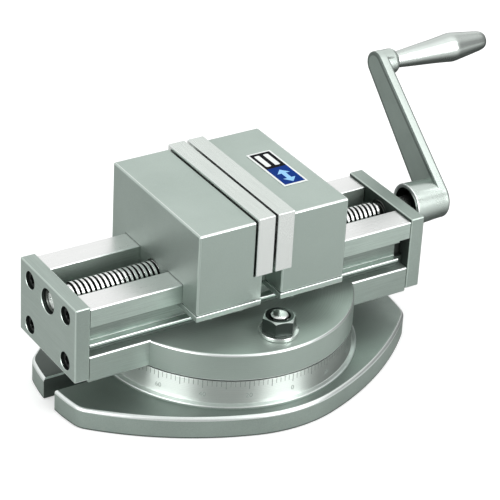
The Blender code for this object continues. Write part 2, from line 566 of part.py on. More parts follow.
# ------------------------------------------------------------------ jaws
for e, side, ref in ((-1, "left", LEFT), (1, "right", RIGHT)):
    def bx(xa, xb, *rest):
        lo, hi = sorted((e * xa, e * xb))
        return bm_box(lo, hi, *rest)

    o = (e * 30, 0, RAIL_TOP)
    # profile across the bed: two legs hang outside the rails, the tongue runs in the trough
    prof = [(JAW_Y, JAW_TOP), (JAW_Y, LEG_Z), (BED_Y + GAP, LEG_Z), (BED_Y + GAP, RAIL_TOP + GAP),
            (TONGUE_Y, RAIL_TOP + GAP), (TONGUE_Y, TONGUE_Z)]
    prof = prof + [(-y, z) for y, z in reversed(prof)]
    length = JAW_BACK - JAW_TOE
    jaw = solid(side + "_jaw", bm_outline(prof, length, "YZ", JAW_TOE if e > 0 else -JAW_BACK))
    seat_x = JAW_GAP + PAD_T + GAP
    cut(jaw, cutter(side + "_pad_seat", bx(0, seat_x, -JAW_Y - 3, JAW_Y + 3, PAD_Z0 - GAP, JAW_TOP + 5)))
    cut(jaw, cutter(side + "_tongue_front", bx(0, TONGUE_X, -TONGUE_Y - 1, TONGUE_Y + 1, TONGUE_Z - 2, RAIL_TOP + GAP)))
    cut(jaw, cutter(side + "_nut_bore", bm_rod((e * (TONGUE_X - 1), 0, SCREW_Z), (e, 0, 0), 27.4, NUT_R + 0.5, sides=20)))
    cut(jaw, cutter(side + "_screw_pass", bm_rod((e * (TONGUE_X - 1), 0, SCREW_Z), (e, 0, 0), 40, 8.8, sides=24)))
    for i, s in enumerate((-1, 1)):
        cut(jaw, cutter("%s_pad_tap_%d" % (side, i), bm_rod((e * 8, s * 30, 104), (e, 0, 0), 22, 4.2, sides=10)))
        cut(jaw, cutter("%s_nut_tap_%d" % (side, i), bm_rod((e * (TONGUE_X - 1), s * 12.6, 60.2), (e, 0, 0), 9.5, 2.0, sides=10)))
        for j, x in enumerate((17.3, 38.5)):
            cut(jaw, cutter("%s_keep_tap_%d%d" % (side, i, j), bm_rod((e * x, s * 43.6, 60), (0, 0, 1), 20, 2.4, sides=10)))
    place(jaw, ref, o, "satin_iron")

    pad = solid(side + "_jaw_plate", bx(JAW_GAP, JAW_GAP + PAD_T, -PAD_Y, PAD_Y, PAD_Z0, PAD_Z1))
    chamfer(pad, 0.6)
    for i, s in enumerate((-1, 1)):
        cut(pad, cutter("%s_pad_thru_%d" % (side, i), bm_rod((0, s * 30, 104), (e, 0, 0), 16, 4.3, sides=12)),
            cutter("%s_pad_cb_%d" % (side, i), bm_rod((0, s * 30, 104), (e, 0, 0), JAW_GAP + 8.6, 6.9, sides=18)))
        cap_screw("%s_jaw_plate_screw_%d" % (side, i + 1), (e * (JAW_GAP + 1.0), s * 30, 104), (e, 0, 0),
                  6.4, 7.3, 3.9, 16.0, 6.0, ref)
    place(pad, ref, o, "ground_steel")

    # bronze nut: round body in the tongue with a square flange on the inner side
    nut = solid(side + "_jaw_nut", bx(TONGUE_X - 4.1, TONGUE_X - GAP, -15.6, 15.6, 56.5, 80.7))
    join(nut, cutter(side + "_nut_body", bm_rod((e * (TONGUE_X - 0.6), 0, SCREW_Z), (e, 0, 0), 26.2, NUT_R, sides=20)))
    cut(nut, cutter(side + "_nut_hole", bm_rod((e * (TONGUE_X - 8), 0, SCREW_Z), (e, 0, 0), 40, 8.4, sides=24)))
    for i, s in enumerate((-1, 1)):
        cut(nut, cutter("%s_nut_thru_%d" % (side, i), bm_rod((e * 10, s * 12.6, 60.2), (e, 0, 0), 12, 2.1, sides=10)))
        cap_screw("%s_nut_screw_%d" % (side, i + 1), (e * (TONGUE_X - 4.1 - 2.5), s * 12.6, 60.2), (e, 0, 0),
                  3.1, 2.2, 1.65, 12.0, 2.5, ref, sides=12)
    place(nut, ref, o, "bronze")

    for s, fb in ((-1, "front"), (1, "rear")):
        y0, y1 = sorted((s * KEEP_Y, s * JAW_Y))
        keeper = solid("%s_%s_keeper" % (side, fb), bx(JAW_TOE, JAW_BACK, y0, y1, KEEP_Z0, KEEP_Z1))
        chamfer(keeper, 0.5)
        for j, x in enumerate((17.3, 38.5)):
            cut(keeper, cutter("%s_%s_keep_thru_%d" % (side, fb, j), bm_rod((e * x, s * 43.6, 60), (0, 0, 1), 12, 2.4, sides=10)))
            cap_screw("%s_%s_keeper_screw_%d" % (side, fb, j + 1), (e * x, s * 43.6, KEEP_Z0 - GAP - 2.8), (0, 0, 1),
                      3.5, 2.8, 1.95, 16.0, 2.5, ref, "machined_steel", sides=12)
        place(keeper, ref, o, "satin_iron")

label = solid("jaw_label", bm_box(24.0, 40.5, -21.3, 21.3, JAW_TOP + 0.1, JAW_TOP + 0.5))
place(label, RIGHT, (30, 0, RAIL_TOP), "label_blue")

# ------------------------------------------------------------------ swivel clamp bolts, washers and nuts
for s, fb, ref in ((-1, "front", NUT_F), (1, "rear", NUT_B)):
    y = s * TEE_R
    bolt = solid(fb + "_tee_bolt", bm_box(-9.5, 9.5, y - 9.5, y + 9.5, 13.4, TEE_ROOF - GAP))
    join(bolt, cutter(fb + "_stud", bm_rod((0, y, 18), (0, 0, 1), STUD_TOP - 18 - 2.4, STUD_R, sides=20)),
         cutter(fb + "_stud_end", bm_rod((0, y, STUD_TOP - 2.6), (0, 0, 1), 2.6, STUD_R - 0.3, STUD_R - 2.4, sides=20)))
    place(bolt, SWIVEL, (0, y, DISC_TOP), "machined_steel")
    washer = turned(fb + "_clamp_washer", [(6.5, WASHER_T), (WASHER_R - 0.4, WASHER_T), (WASHER_R, WASHER_T - 0.4),
                                           (WASHER_R, 0.0), (6.5, 0.0)], 24)
    washer.parent = SWIVEL
    washer.location = Vector((0, y, DISC_TOP + 0.15)) * MM - Vector(SWIVEL["world"])
    washer.data.materials.append(material_for(washer.name, "machined_steel"))
    z0 = DISC_TOP + 0.15 + WASHER_T + 0.15
    nut = solid(fb + "_clamp_nut", bm_rod((0, y, z0), (0, 0, 1), NUT_H, NUT_AF / math.sqrt(3.0), sides=6,
                                          turn=math.radians(-13.5)))
    crown = turned("cut_%s_nut_crown" % fb, [(0.0, z0 + NUT_H), (8.7, z0 + NUT_H), (10.8, z0 + NUT_H - 1.2),
                                             (10.8, z0 - 1.0), (0.0, z0 - 1.0)], 24, CUTTERS)
    crown.location = Vector((0, y, 0)) * MM
    boolean(nut, crown, 'INTERSECT')
    cut(nut, cutter(fb + "_nut_thread", bm_rod((0, y, z0 - 2), (0, 0, 1), NUT_H + 4, 6.3, sides=20)))
    place(nut, ref, (0, y, DISC_TOP), "dark_zinc")

bpy.context.view_layer.update()
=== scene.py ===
"""Looks of the self-centring machine vise: fine meshes, machined finishes, studio.

Lengths are millimetres in the construction code and metres in the scene. The driving
dimensions repeat the design's own numbers, and the main ones are read from the frame.
"""
import math

import bpy
import bmesh
from mathutils import Matrix, Vector


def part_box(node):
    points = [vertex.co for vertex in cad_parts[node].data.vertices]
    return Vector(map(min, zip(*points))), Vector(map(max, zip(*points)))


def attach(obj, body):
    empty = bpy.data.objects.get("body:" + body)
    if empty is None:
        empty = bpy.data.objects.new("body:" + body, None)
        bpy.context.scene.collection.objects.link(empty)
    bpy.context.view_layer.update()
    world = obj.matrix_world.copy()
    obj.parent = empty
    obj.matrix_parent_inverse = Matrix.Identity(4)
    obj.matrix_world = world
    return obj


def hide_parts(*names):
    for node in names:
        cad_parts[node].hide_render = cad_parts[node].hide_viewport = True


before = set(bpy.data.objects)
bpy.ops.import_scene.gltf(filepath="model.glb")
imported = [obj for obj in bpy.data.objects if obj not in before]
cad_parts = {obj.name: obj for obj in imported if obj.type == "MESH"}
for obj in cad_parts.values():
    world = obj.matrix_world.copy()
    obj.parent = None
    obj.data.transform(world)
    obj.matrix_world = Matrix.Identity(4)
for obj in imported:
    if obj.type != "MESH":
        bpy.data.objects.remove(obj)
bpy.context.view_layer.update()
MM = 0.001


def box_mm(node):
    lo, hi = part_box(node)
    return [c * 1000.0 for c in lo], [c * 1000.0 for c in hi]


# ------------------------------------------------------------------ dimensions (mm)
_lo, _hi = box_mm("swivel_base")
BASE_SIDE, RING_TOP = _hi[1], _hi[2]
BASE_T, BASE_END, SIDE_TURN, FLANK_R, LUG_R = 14.0, 118.3, 17.5, 211.0, 14.5
LUG_W, LUG_X = 13.5, 99.0
FOOT_R, FOOT_T, RING_R = 81.3, 2.0, 78.0
TEE_R, TEE_NECK, TEE_WIDE, TEE_FLOOR, TEE_ROOF = 60.0, 12.8, 24.0, 11.0, 21.0
PIN_R, PIN_HEAD_R = 12.0, 15.0

_lo, _hi = box_mm("vise_bed")
BED_X, DISC_R, BED_Z0, RAIL_TOP = _hi[0], 78.0, _lo[2], _hi[2]
BED_Y, DISC_TOP = 33.4, 49.3
GROOVE_Y, LIP_Z0, LIP_Z1 = 27.0, 55.2, 57.5
RECESS_Y, FLANGE_Z = 28.6, 68.3
SLOT_Y, SLOT_Z, RELIEF_X = 16.5, 54.5, 102.6

_lo, _hi = box_mm("right_end_plate")
PLATE_XI, PLATE_XO, PLATE_Y, PLATE_Z0, PLATE_Z1 = _lo[0], _hi[0], _hi[1], _lo[2], _hi[2]
BOLT_Y, BOLT_ZU, BOLT_ZL = 21.7, 73.35, 43.15

SCREW_Z, PITCH, THREAD_R, ROOT_R, JOURNAL_R, TAIL_R = 71.0, 3.175, 7.94, 6.1, 6.2, 5.5
COLLAR_R, COLLAR_W = 10.5, 5.0
GAP = 0.3

_lo, _hi = box_mm("right_jaw")
JAW_TOE, JAW_BACK, JAW_Y, JAW_TOP = 6.6, _hi[0], _hi[1], _hi[2]
_lo, _hi = box_mm("right_jaw_plate")
JAW_GAP, PAD_T, PAD_Y, PAD_Z0, PAD_Z1 = _lo[0], _hi[0] - _lo[0], _hi[1], _lo[2], _hi[2]
LEG_Z, TONGUE_Y, TONGUE_Z, TONGUE_X = 68.3, 16.1, 55.2, 19.6
KEEP_Z0, KEEP_Z1, KEEP_Y = 64.3, 68.0, 29.0
NUT_R = 12.0

HUB_X0, HUB_X1, HUB_R0, HUB_R1 = 130.3, 156.5, 13.9, 12.8
ARM_X0, TOP_Y, TOP_Z, TOP_R = 148.7, 69.5, 133.7, 8.4
BOSS_X, GRIP_X0, GRIP_X1, SPINDLE_R = 163.9, 164.3, 233.6, 4.0

STUD_R, STUD_TOP, WASHER_R, WASHER_T, NUT_AF, NUT_H = 5.9, 62.6, 12.0, 2.5, 18.0, 9.0

# ------------------------------------------------------------------ node materials
def _node(nt, kind, **kw):
    n = nt.nodes.new(kind)
    for k, v in kw.items():
        setattr(n, k, v)
    return n


def _math(nt, op, a, b=None, c=None, clamp=False):
    n = _node(nt, "ShaderNodeMath", operation=op, use_clamp=clamp)
    for i, v in enumerate((a, b, c)):
        if v is None:
            continue
        if isinstance(v, (int, float)):
            n.inputs[i].default_value = v
        else:
            nt.links.new(v, n.inputs[i])
    return n.outputs[0]


def _noise(nt, vec, scale, detail=3.0, rough=0.5, dims="3D", w=None):
    n = _node(nt, "ShaderNodeTexNoise", noise_dimensions=dims)
    n.inputs["Scale"].default_value = scale
    n.inputs["Detail"].default_value = detail
    n.inputs["Roughness"].default_value = rough
    if vec is not None:
        nt.links.new(vec, n.inputs["Vector"])
    if w is not None:
        nt.links.new(w, n.inputs["W"])
    return n.outputs[0]


def _range(nt, val, a, b, c, d):
    n = _node(nt, "ShaderNodeMapRange")
    nt.links.new(val, n.inputs["Value"])
    for i, v in zip(range(1, 5), (a, b, c, d)):
        n.inputs[i].default_value = v
    return n.outputs[0]


def _stretch(nt, co, scale):
    m = _node(nt, "ShaderNodeMapping")
    m.inputs["Scale"].default_value = scale
    nt.links.new(co, m.inputs["Vector"])
    return m.outputs[0]


GRAINS = {"x": (40.0, 2600.0, 2600.0), "y": (2600.0, 40.0, 2600.0), "z": (2600.0, 2600.0, 40.0)}


def metal(name, tint, rough, metallic=1.0, grain=None, grain_depth=0.3, speck=0.35, mottle=0.05,
          rough_var=0.06, scuffs=0.5, aniso=0.0, aniso_turn=0.0, axis=None, warm=0.0, coat=0.0, depth=0.00004,
          painted_light_and_shade=None):
    """A machined or cast metal finish.

    grain: x, y or z brushing, 'turned' (rings round the Z axis), 'turned_x' (rings round the screw
    axis), or None for a bead-blasted skin. mottle is the slow colour drift, speck the fine skin.
    """
    mat = bpy.data.materials.new(name)
    mat.use_nodes = True
    nt = mat.node_tree
    bsdf = nt.nodes["Principled BSDF"]
    bsdf.inputs["Metallic"].default_value = metallic
    if coat:
        bsdf.inputs["Coat Weight"].default_value = coat
        bsdf.inputs["Coat Roughness"].default_value = 0.12
    co = _node(nt, "ShaderNodeTexCoord").outputs["Object"]
    slow = _noise(nt, co, 22.0, 4.0, 0.55)
    skin = _noise(nt, co, 1500.0, 2.0, 0.6)
    # brushing
    if grain in GRAINS:
        line = _noise(nt, _stretch(nt, co, GRAINS[grain]), 1.0, 3.0, 0.65)
    elif grain in ("turned", "turned_x"):
        sep = _node(nt, "ShaderNodeSeparateXYZ")
        nt.links.new(co, sep.inputs[0])
        if grain == "turned":
            a, b, t = sep.outputs[0], sep.outputs[1], sep.outputs[2]
        else:
            a, b, t = sep.outputs[1], _math(nt, "SUBTRACT", sep.outputs[2], SCREW_Z * MM), sep.outputs[0]
        rad = _math(nt, "SQRT", _math(nt, "ADD", _math(nt, "MULTIPLY", a, a), _math(nt, "MULTIPLY", b, b)))
        line = _noise(nt, None, 1900.0, 3.0, 0.65, "1D", _math(nt, "ADD", rad, _math(nt, "MULTIPLY", t, 1.7)))
    else:
        line = None
    # handling scuffs: thin short bright scratches
    scratch = _noise(nt, _stretch(nt, co, (90.0, 900.0, 520.0)), 1.0, 2.0, 0.4)
    scratch = _range(nt, scratch, 0.66, 0.72, 0.0, 1.0)
    patch = _range(nt, _noise(nt, co, 55.0, 2.0, 0.5), 0.5, 0.62, 0.0, 1.0)
    scratch = _math(nt, "MULTIPLY", scratch, patch)

    # colour: tint x slow drift x fine skin x brushing
    k = _range(nt, slow, 0.3, 0.7, 1.0 - mottle, 1.0 + mottle)
    k = _math(nt, "MULTIPLY", k, _range(nt, skin, 0.3, 0.7, 1.0 - 0.10 * speck, 1.0 + 0.10 * speck))
    if line is not None:
        k = _math(nt, "MULTIPLY", k, _range(nt, line, 0.3, 0.7, 1.0 - 0.16 * grain_depth, 1.0 + 0.16 * grain_depth))
    k = _math(nt, "ADD", k, _math(nt, "MULTIPLY", scratch, 0.10 * scuffs))
    ramp = _node(nt, "ShaderNodeValToRGB")
    lo, hi = 0.80, 1.20
    ramp.color_ramp.elements[0].position = 0.0
    ramp.color_ramp.elements[1].position = 1.0
    ramp.color_ramp.elements[0].color = (*[min(1.0, c * lo * (1 - w * warm)) for c, w in zip(tint, (0.0, 0.1, 0.35))], 1)
    ramp.color_ramp.elements[1].color = (*[min(1.0, c * hi) for c in tint], 1)
    nt.links.new(_range(nt, k, lo, hi, 0.0, 1.0), ramp.inputs[0])
    colour = ramp.outputs[0]
    if painted_light_and_shade:
        # painted light and shade: tone patches fixed to the surface, darker for a positive amount and lighter for a
        # negative one, fading in along x and y, in millimetres from the swivel axis
        at = _node(nt, "ShaderNodeSeparateXYZ")
        nt.links.new(co, at.inputs[0])
        keep = 1.0
        for xa, xb, ya, yb, amount in painted_light_and_shade:
            out = _range(nt, at.outputs[0], xa * MM, xb * MM, 0.0, 1.0)
            far = _range(nt, at.outputs[1], ya * MM, yb * MM, 0.0, amount)
            keep = _math(nt, "MULTIPLY", keep, _math(nt, "SUBTRACT", 1.0, _math(nt, "MULTIPLY", out, far)))
        shade_scale = _node(nt, "ShaderNodeVectorMath", operation="SCALE")
        nt.links.new(colour, shade_scale.inputs[0])
        nt.links.new(keep, shade_scale.inputs["Scale"])
        colour = shade_scale.outputs[0]
    nt.links.new(colour, bsdf.inputs["Base Color"])
    # roughness
    r = _range(nt, slow, 0.3, 0.7, rough + rough_var, rough - rough_var)
    r = _math(nt, "ADD", r, _range(nt, skin, 0.3, 0.7, -0.05 * speck, 0.05 * speck))
    if line is not None:
        r = _math(nt, "ADD", r, _range(nt, line, 0.3, 0.7, 0.07 * grain_depth, -0.07 * grain_depth))
    r = _math(nt, "SUBTRACT", r, _math(nt, "MULTIPLY", scratch, 0.08 * scuffs), clamp=True)
    nt.links.new(r, bsdf.inputs["Roughness"])
    # relief
    h = _math(nt, "MULTIPLY", skin, speck)
    if line is not None:
        h = _math(nt, "ADD", h, _math(nt, "MULTIPLY", line, grain_depth))
    h = _math(nt, "SUBTRACT", h, _math(nt, "MULTIPLY", scratch, 0.35 * scuffs))
    bump = _node(nt, "ShaderNodeBump")
    bump.inputs["Strength"].default_value = 0.55
    bump.inputs["Distance"].default_value = depth
    nt.links.new(h, bump.inputs["Height"])
    nt.links.new(bump.outputs[0], bsdf.inputs["Normal"])
    if aniso:
        bsdf.inputs["Anisotropic"].default_value = aniso
        bsdf.inputs["Anisotropic Rotation"].default_value = aniso_turn
        tan = _node(nt, "ShaderNodeTangent", direction_type='RADIAL', axis=axis or 'Z')
        nt.links.new(tan.outputs[0], bsdf.inputs["Tangent"])
    return mat


def paint_film(name, colour, rough=0.32, flecks=0.12):
    """Printed foil: an ink colour with worn flecks and a soft sheen."""
    mat = bpy.data.materials.new(name)
    mat.use_nodes = True
    nt = mat.node_tree
    bsdf = nt.nodes["Principled BSDF"]
    bsdf.inputs["Specular IOR Level"].default_value = 0.05
    co = _node(nt, "ShaderNodeTexCoord").outputs["Object"]
    slow = _noise(nt, co, 120.0, 4.0, 0.6)
    fine = _noise(nt, co, 2200.0, 2.0, 0.6)
    ramp = _node(nt, "ShaderNodeValToRGB")
    ramp.color_ramp.elements[0].position = 0.25
    ramp.color_ramp.elements[1].position = 0.80
    ramp.color_ramp.elements[0].color = (*[c * (1 - flecks) for c in colour], 1)
    ramp.color_ramp.elements[1].color = (*[min(1.0, c * (1 + flecks) + 0.004) for c in colour], 1)
    nt.links.new(_math(nt, "ADD", _math(nt, "MULTIPLY", slow, 0.7), _math(nt, "MULTIPLY", fine, 0.3)), ramp.inputs[0])
    nt.links.new(ramp.outputs[0], bsdf.inputs["Base Color"])
    nt.links.new(_range(nt, slow, 0.3, 0.7, rough - 0.05, rough + 0.08), bsdf.inputs["Roughness"])
    bump = _node(nt, "ShaderNodeBump")
    bump.inputs["Strength"].default_value = 0.3
    bump.inputs["Distance"].default_value = 0.00002
    nt.links.new(fine, bump.inputs["Height"])
    nt.links.new(bump.outputs[0], bsdf.inputs["Normal"])
    return mat


IRON = (0.470, 0.549, 0.505)
M = {
    "iron": metal("satin_iron", IRON, 0.40, 0.92, None, speck=0.5, mottle=0.045, scuffs=0.4),
    # a darker copy of the satin iron for the jaws' back faces: painted shade
    "iron_back": metal("satin_iron_end", (0.355, 0.415, 0.382), 0.46, 0.90, None, speck=0.6, mottle=0.05),
    "iron_flange": metal("satin_iron_flange", (0.49, 0.573, 0.527), 0.38, 0.92, "x", 0.8, speck=0.4, mottle=0.09),
    # a darker copy of the satin iron: painted shade on jaw side faces and under the jaws; the bearing blocks use it too
    "iron_shaded": metal("satin_iron_shaded", (0.385, 0.450, 0.414), 0.40, 0.92, None, speck=0.6, mottle=0.05),
    # a darker copy for the bed's recessed band under the flange: painted shade under the overhang, with x brushing
    "iron_recess": metal("satin_iron_recess", (0.26, 0.305, 0.28), 0.42, 0.92, "x", 1.1, speck=0.5, mottle=0.16),
    # a darker copy for the bed's lower body sides: painted shade, darker towards the bottom
    "iron_low": metal("satin_iron_foot", (0.37, 0.433, 0.398), 0.40, 0.92, "x", 0.6, speck=0.4, mottle=0.09),
    "iron_dark": metal("iron_trough", (0.42, 0.50, 0.457), 0.46, 0.85, "x", 0.6, speck=0.5, mottle=0.12, warm=0.1),
    # near-black: painted shade on the walls of the relief pockets at the bed's right end
    "pit": metal("relief_pocket_painted_shade", (0.03, 0.036, 0.033), 0.7, 0.3, None, speck=0.5, mottle=0.10),
    # near-black iron: painted shade in slots, grooves, undersides, seams and the gap between the jaws
    "iron_painted_shade": metal("painted_shade_black_iron", (0.10, 0.125, 0.112), 0.5, 0.85, "x", 0.4, speck=0.5, mottle=0.10),
    "cast": metal("base_cast_iron", (0.335, 0.393, 0.361), 0.43, 0.90, None, speck=0.8, mottle=0.09, depth=0.00006),
    # base top faces: a darker copy of the base casting as painted shade, with painted shadow patches on the far half of
    # both ends and a painted light patch on the near side towards the crank
    "cast_top_painted_shade_and_light": metal("base_top_painted_shade_and_light", (0.255, 0.30, 0.276), 0.46, 0.94, None, speck=0.8, mottle=0.12, depth=0.00006,
                      painted_light_and_shade=((-96, -106, -7, 3, 0.62), (96, 106, -7, 3, 0.5), (30, 85, -15, -45, -0.42))),
    "disc_top": metal("disc_turned_top", (0.425, 0.497, 0.455), 0.46, 0.78, "turned", 0.5, speck=0.2, mottle=0.05),
    "disc_side": metal("disc_turned_side", (0.412, 0.482, 0.442), 0.38, 0.92, "turned", 0.5, speck=0.2, mottle=0.05),
    # turned ring with painted shade: darker on the near side towards the crank end
    "ring": metal("ring_turned_bright", (0.62, 0.672, 0.638), 0.46, 1.0, "turned", 0.6, speck=0.15, mottle=0.03,
                  aniso=0.95, aniso_turn=0.25, axis='Z', painted_light_and_shade=((5, 20, 10, -10, 0.30),)),
    "edge": metal("ground_edge", (0.80, 0.86, 0.825), 0.34, 1.0, None, speck=0.3, mottle=0.05, rough_var=0.04),
    "plate_edge": metal("end_plate_edge", (0.54, 0.62, 0.575), 0.34, 0.95, None, speck=0.3, mottle=0.05),
    "rail": metal("rail_ground", (0.975, 0.985, 0.97), 0.29, 1.0, "x", 0.30, speck=0.1, mottle=0.015, rough_var=0.02,
                  depth=0.000008),
    "plate": metal("end_plate_ground", (0.40, 0.468, 0.431), 0.36, 0.95, "y", 0.5, speck=0.25, mottle=0.05),
    "hole_dark": metal("bore_shadowed", (0.045, 0.055, 0.05), 0.45, 0.85, None, speck=0.4, mottle=0.15),
    "keeper_screw": metal("keeper_screw_steel", (0.20, 0.235, 0.215), 0.38, 0.95, None, speck=0.3, mottle=0.10),
    # near-black bush: painted shade inside the end plate bores
    "bush": metal("bush_painted_shade", (0.115, 0.125, 0.115), 0.34, 0.95, "turned_x", 0.4, speck=0.2, mottle=0.10),
    # ground jaw plate in two copies: lighter on the sides as painted light, darker on the top as painted shade
    "jaw_plate": metal("jaw_plate_ground", (0.93, 0.985, 0.94), 0.24, 1.0, "y", 0.5, speck=0.15, mottle=0.03,
                       depth=0.00002),
    "jaw_plate_top_painted_shade": metal("jaw_plate_top_painted_shade", (0.72, 0.77, 0.735), 0.26, 1.0, "y", 0.5, speck=0.15, mottle=0.03,
                           depth=0.00002),
    "steel": metal("machined_steel", (0.80, 0.84, 0.81), 0.26, 1.0, "turned_x", 0.4, speck=0.2, mottle=0.05),
    "steel_z": metal("machined_steel_upright", (0.72, 0.755, 0.73), 0.27, 1.0, None, speck=0.2, mottle=0.05),
    "screw": metal("bright_thread", (0.94, 0.96, 0.94), 0.20, 1.0, "turned_x", 0.25, speck=0.1, mottle=0.03,
                   rough_var=0.03, depth=0.00001),
    # near-black thread roots: painted shade in the thread grooves
    "thread_root": metal("thread_root_painted_shade", (0.020, 0.026, 0.022), 0.42, 0.80, "turned_x", 0.3, speck=0.2, mottle=0.12),
    "crank": metal("crank_satin", (0.61, 0.68, 0.64), 0.31, 0.97, None, speck=0.25, mottle=0.07, scuffs=0.2),
    # a darker copy of the crank satin for the arm's flat inner face: painted shade
    "crank_face": metal("crank_face_satin", (0.275, 0.325, 0.298), 0.40, 0.94, None, speck=0.6, mottle=0.08),
    # near-black border band round the arm's inner face: painted shade along its edge
    "crank_rim_painted_shade": metal("crank_border_painted_shade", (0.15, 0.18, 0.165), 0.40, 0.94, None, speck=0.5, mottle=0.08),
    "grip": metal("grip_polished", (0.62, 0.668, 0.64), 0.27, 1.0, None, speck=0.12, mottle=0.05, rough_var=0.03),
    "zinc": metal("dark_zinc", (0.050, 0.062, 0.056), 0.34, 0.95, None, speck=0.3, mottle=0.16, coat=0.05),
    "zinc_edge": metal("dark_zinc_worn", (0.50, 0.56, 0.53), 0.30, 0.95, None, speck=0.4, mottle=0.12),
    "washer": metal("zinc_plate", (0.84, 0.88, 0.85), 0.22, 1.0, None, speck=0.2, mottle=0.06),
    "black": metal("black_oxide", (0.022, 0.024, 0.023), 0.42, 0.85, None, speck=0.5, mottle=0.15),
    "bronze": metal("bearing_bronze", (0.62, 0.43, 0.18), 0.30, 1.0, "turned_x", 0.4, speck=0.2, mottle=0.08),
    "dial_ink": paint_film("dial_ink", (0.17, 0.20, 0.185), 0.5),
    "dial_faint": paint_film("dial_faint", (0.27, 0.31, 0.29), 0.5),
    "label_white": paint_film("label_white", (0.80, 0.83, 0.815), 0.45, 0.04),
    "label_black": paint_film("label_black", (0.004, 0.005, 0.007), 0.60, 0.4),
    "label_blue": paint_film("label_blue", (0.002, 0.032, 0.21), 0.60, 0.25),
    "label_sky": paint_film("label_sky", (0.30, 0.58, 0.86), 0.50, 0.10),
}

# ------------------------------------------------------------------ mesh helpers (millimetre input)
WORK = bpy.data.collections.new("work")
bpy.context.scene.collection.children.link(WORK)
PIECES = bpy.data.collections.new("vise_pieces")
bpy.context.scene.collection.children.link(PIECES)


def temp(bm, name="work"):
    bmesh.ops.scale(bm, vec=(MM, MM, MM), verts=bm.verts)
    bmesh.ops.recalc_face_normals(bm, faces=bm.faces)
    me = bpy.data.meshes.new(name)
    bm.to_mesh(me)
    bm.free()
    ob = bpy.data.objects.new(name, me)
    WORK.objects.link(ob)
    return ob


def merged(*bms):
    """Several separate shapes in one bmesh."""
    out = bmesh.new()
    for b in bms:
        me = bpy.data.meshes.new("m")
        b.to_mesh(me)
        b.free()
        out.from_mesh(me)
        bpy.data.meshes.remove(me)
    return out


def boolean(ob, bm, how='DIFFERENCE'):
    """One exact Boolean step, baked into the object's mesh."""
    tool = temp(bm, "tool")
    mod = ob.modifiers.new("b", 'BOOLEAN')
    mod.operation = how
    mod.object = tool
    mod.solver = 'EXACT'
    bpy.context.view_layer.update()
    me = bpy.data.meshes.new_from_object(ob.evaluated_get(bpy.context.evaluated_depsgraph_get()))
    ob.modifiers.clear()
    old, ob.data = ob.data, me
    bpy.data.meshes.remove(old)
    bpy.data.objects.remove(tool, do_unlink=True)
    return ob


def cut(ob, *bms):
    return boolean(ob, merged(*bms))


def cut_each(ob, *bms):
    for b in bms:
        boolean(ob, b)
    return ob


def join(ob, *bms):
    for b in bms:
        boolean(ob, b, 'UNION')
    return ob


def bm_box(x0, x1, y0, y1, z0, z1, r=0.0, seg=3):
    bm = bmesh.new()
    bmesh.ops.create_cube(bm, size=1.0)
    bmesh.ops.scale(bm, vec=(abs(x1 - x0), abs(y1 - y0), abs(z1 - z0)), verts=bm.verts)
    bmesh.ops.translate(bm, vec=((x0 + x1) / 2, (y0 + y1) / 2, (z0 + z1) / 2), verts=bm.verts)
    if r:
        bmesh.ops.bevel(bm, geom=bm.edges[:], offset=r, segments=seg, profile=0.5, affect='EDGES')
    return bm


def aim(bm, start, axis, turn=0.0):
    """Turn a shape built along +Z so that it starts at a point and runs along an axis."""
    if turn:
        bmesh.ops.rotate(bm, cent=(0, 0, 0), matrix=Matrix.Rotation(turn, 3, 'Z'), verts=bm.verts)
    quat = Vector((0, 0, 1)).rotation_difference(Vector(axis).normalized())
    bmesh.ops.rotate(bm, cent=(0, 0, 0), matrix=quat.to_matrix(), verts=bm.verts)
    bmesh.ops.translate(bm, vec=start, verts=bm.verts)
    return bm


def spin(profile, segs, start=(0, 0, 0), axis=(0, 0, 1), ripple=None, turn=0.0):
    """A closed turned shape; profile is (radius, height). A profile that touches no axis closes on itself."""
    bm = bmesh.new()
    rows = []
    for i, (r, z) in enumerate(profile):
        if r <= 1e-6:
            rows.append([bm.verts.new((0, 0, z))])
            continue
        row = []
        for j in range(segs):
            a = 2 * math.pi * j / segs
            rr = r * (ripple(i, j) if ripple else 1.0)
            row.append(bm.verts.new((rr * math.cos(a), rr * math.sin(a), z)))
        rows.append(row)
    ring = len(rows[0]) > 1 and len(rows[-1]) > 1
    pairs = list(zip(rows, rows[1:])) + ([(rows[-1], rows[0])] if ring else [])
    for a, b in pairs:
        for j in range(segs):
            k = (j + 1) % segs
            if len(a) == 1:
                bm.faces.new((a[0], b[j], b[k]))
            elif len(b) == 1:
                bm.faces.new((a[j], b[0], a[k]))
            else:
                bm.faces.new((a[j], b[j], b[k], a[k]))
    bmesh.ops.recalc_face_normals(bm, faces=bm.faces)
    return aim(bm, start, axis, turn)


def rod(start, axis, length, r0, r1=None, segs=64, turn=0.0):
    r1 = r0 if r1 is None else r1
    return spin([(0, length), (r1, length), (r0, 0), (0, 0)], segs, start, axis, turn=turn)


def drill(start, axis, depth, r, mouth=0.4, segs=48, point=True):
    """A drilled hole from a surface point: chamfered mouth, straight wall, cone at the bottom."""
    prof = [(0, -1.0), (r + mouth + 1.0, -1.0), (r, mouth), (r, depth)] if mouth else [(0, -1.0), (r, -1.0), (r, depth)]
    prof += [(0, depth + (r * 0.5 if point else 0.0))]
    return spin(prof, segs, start, axis)


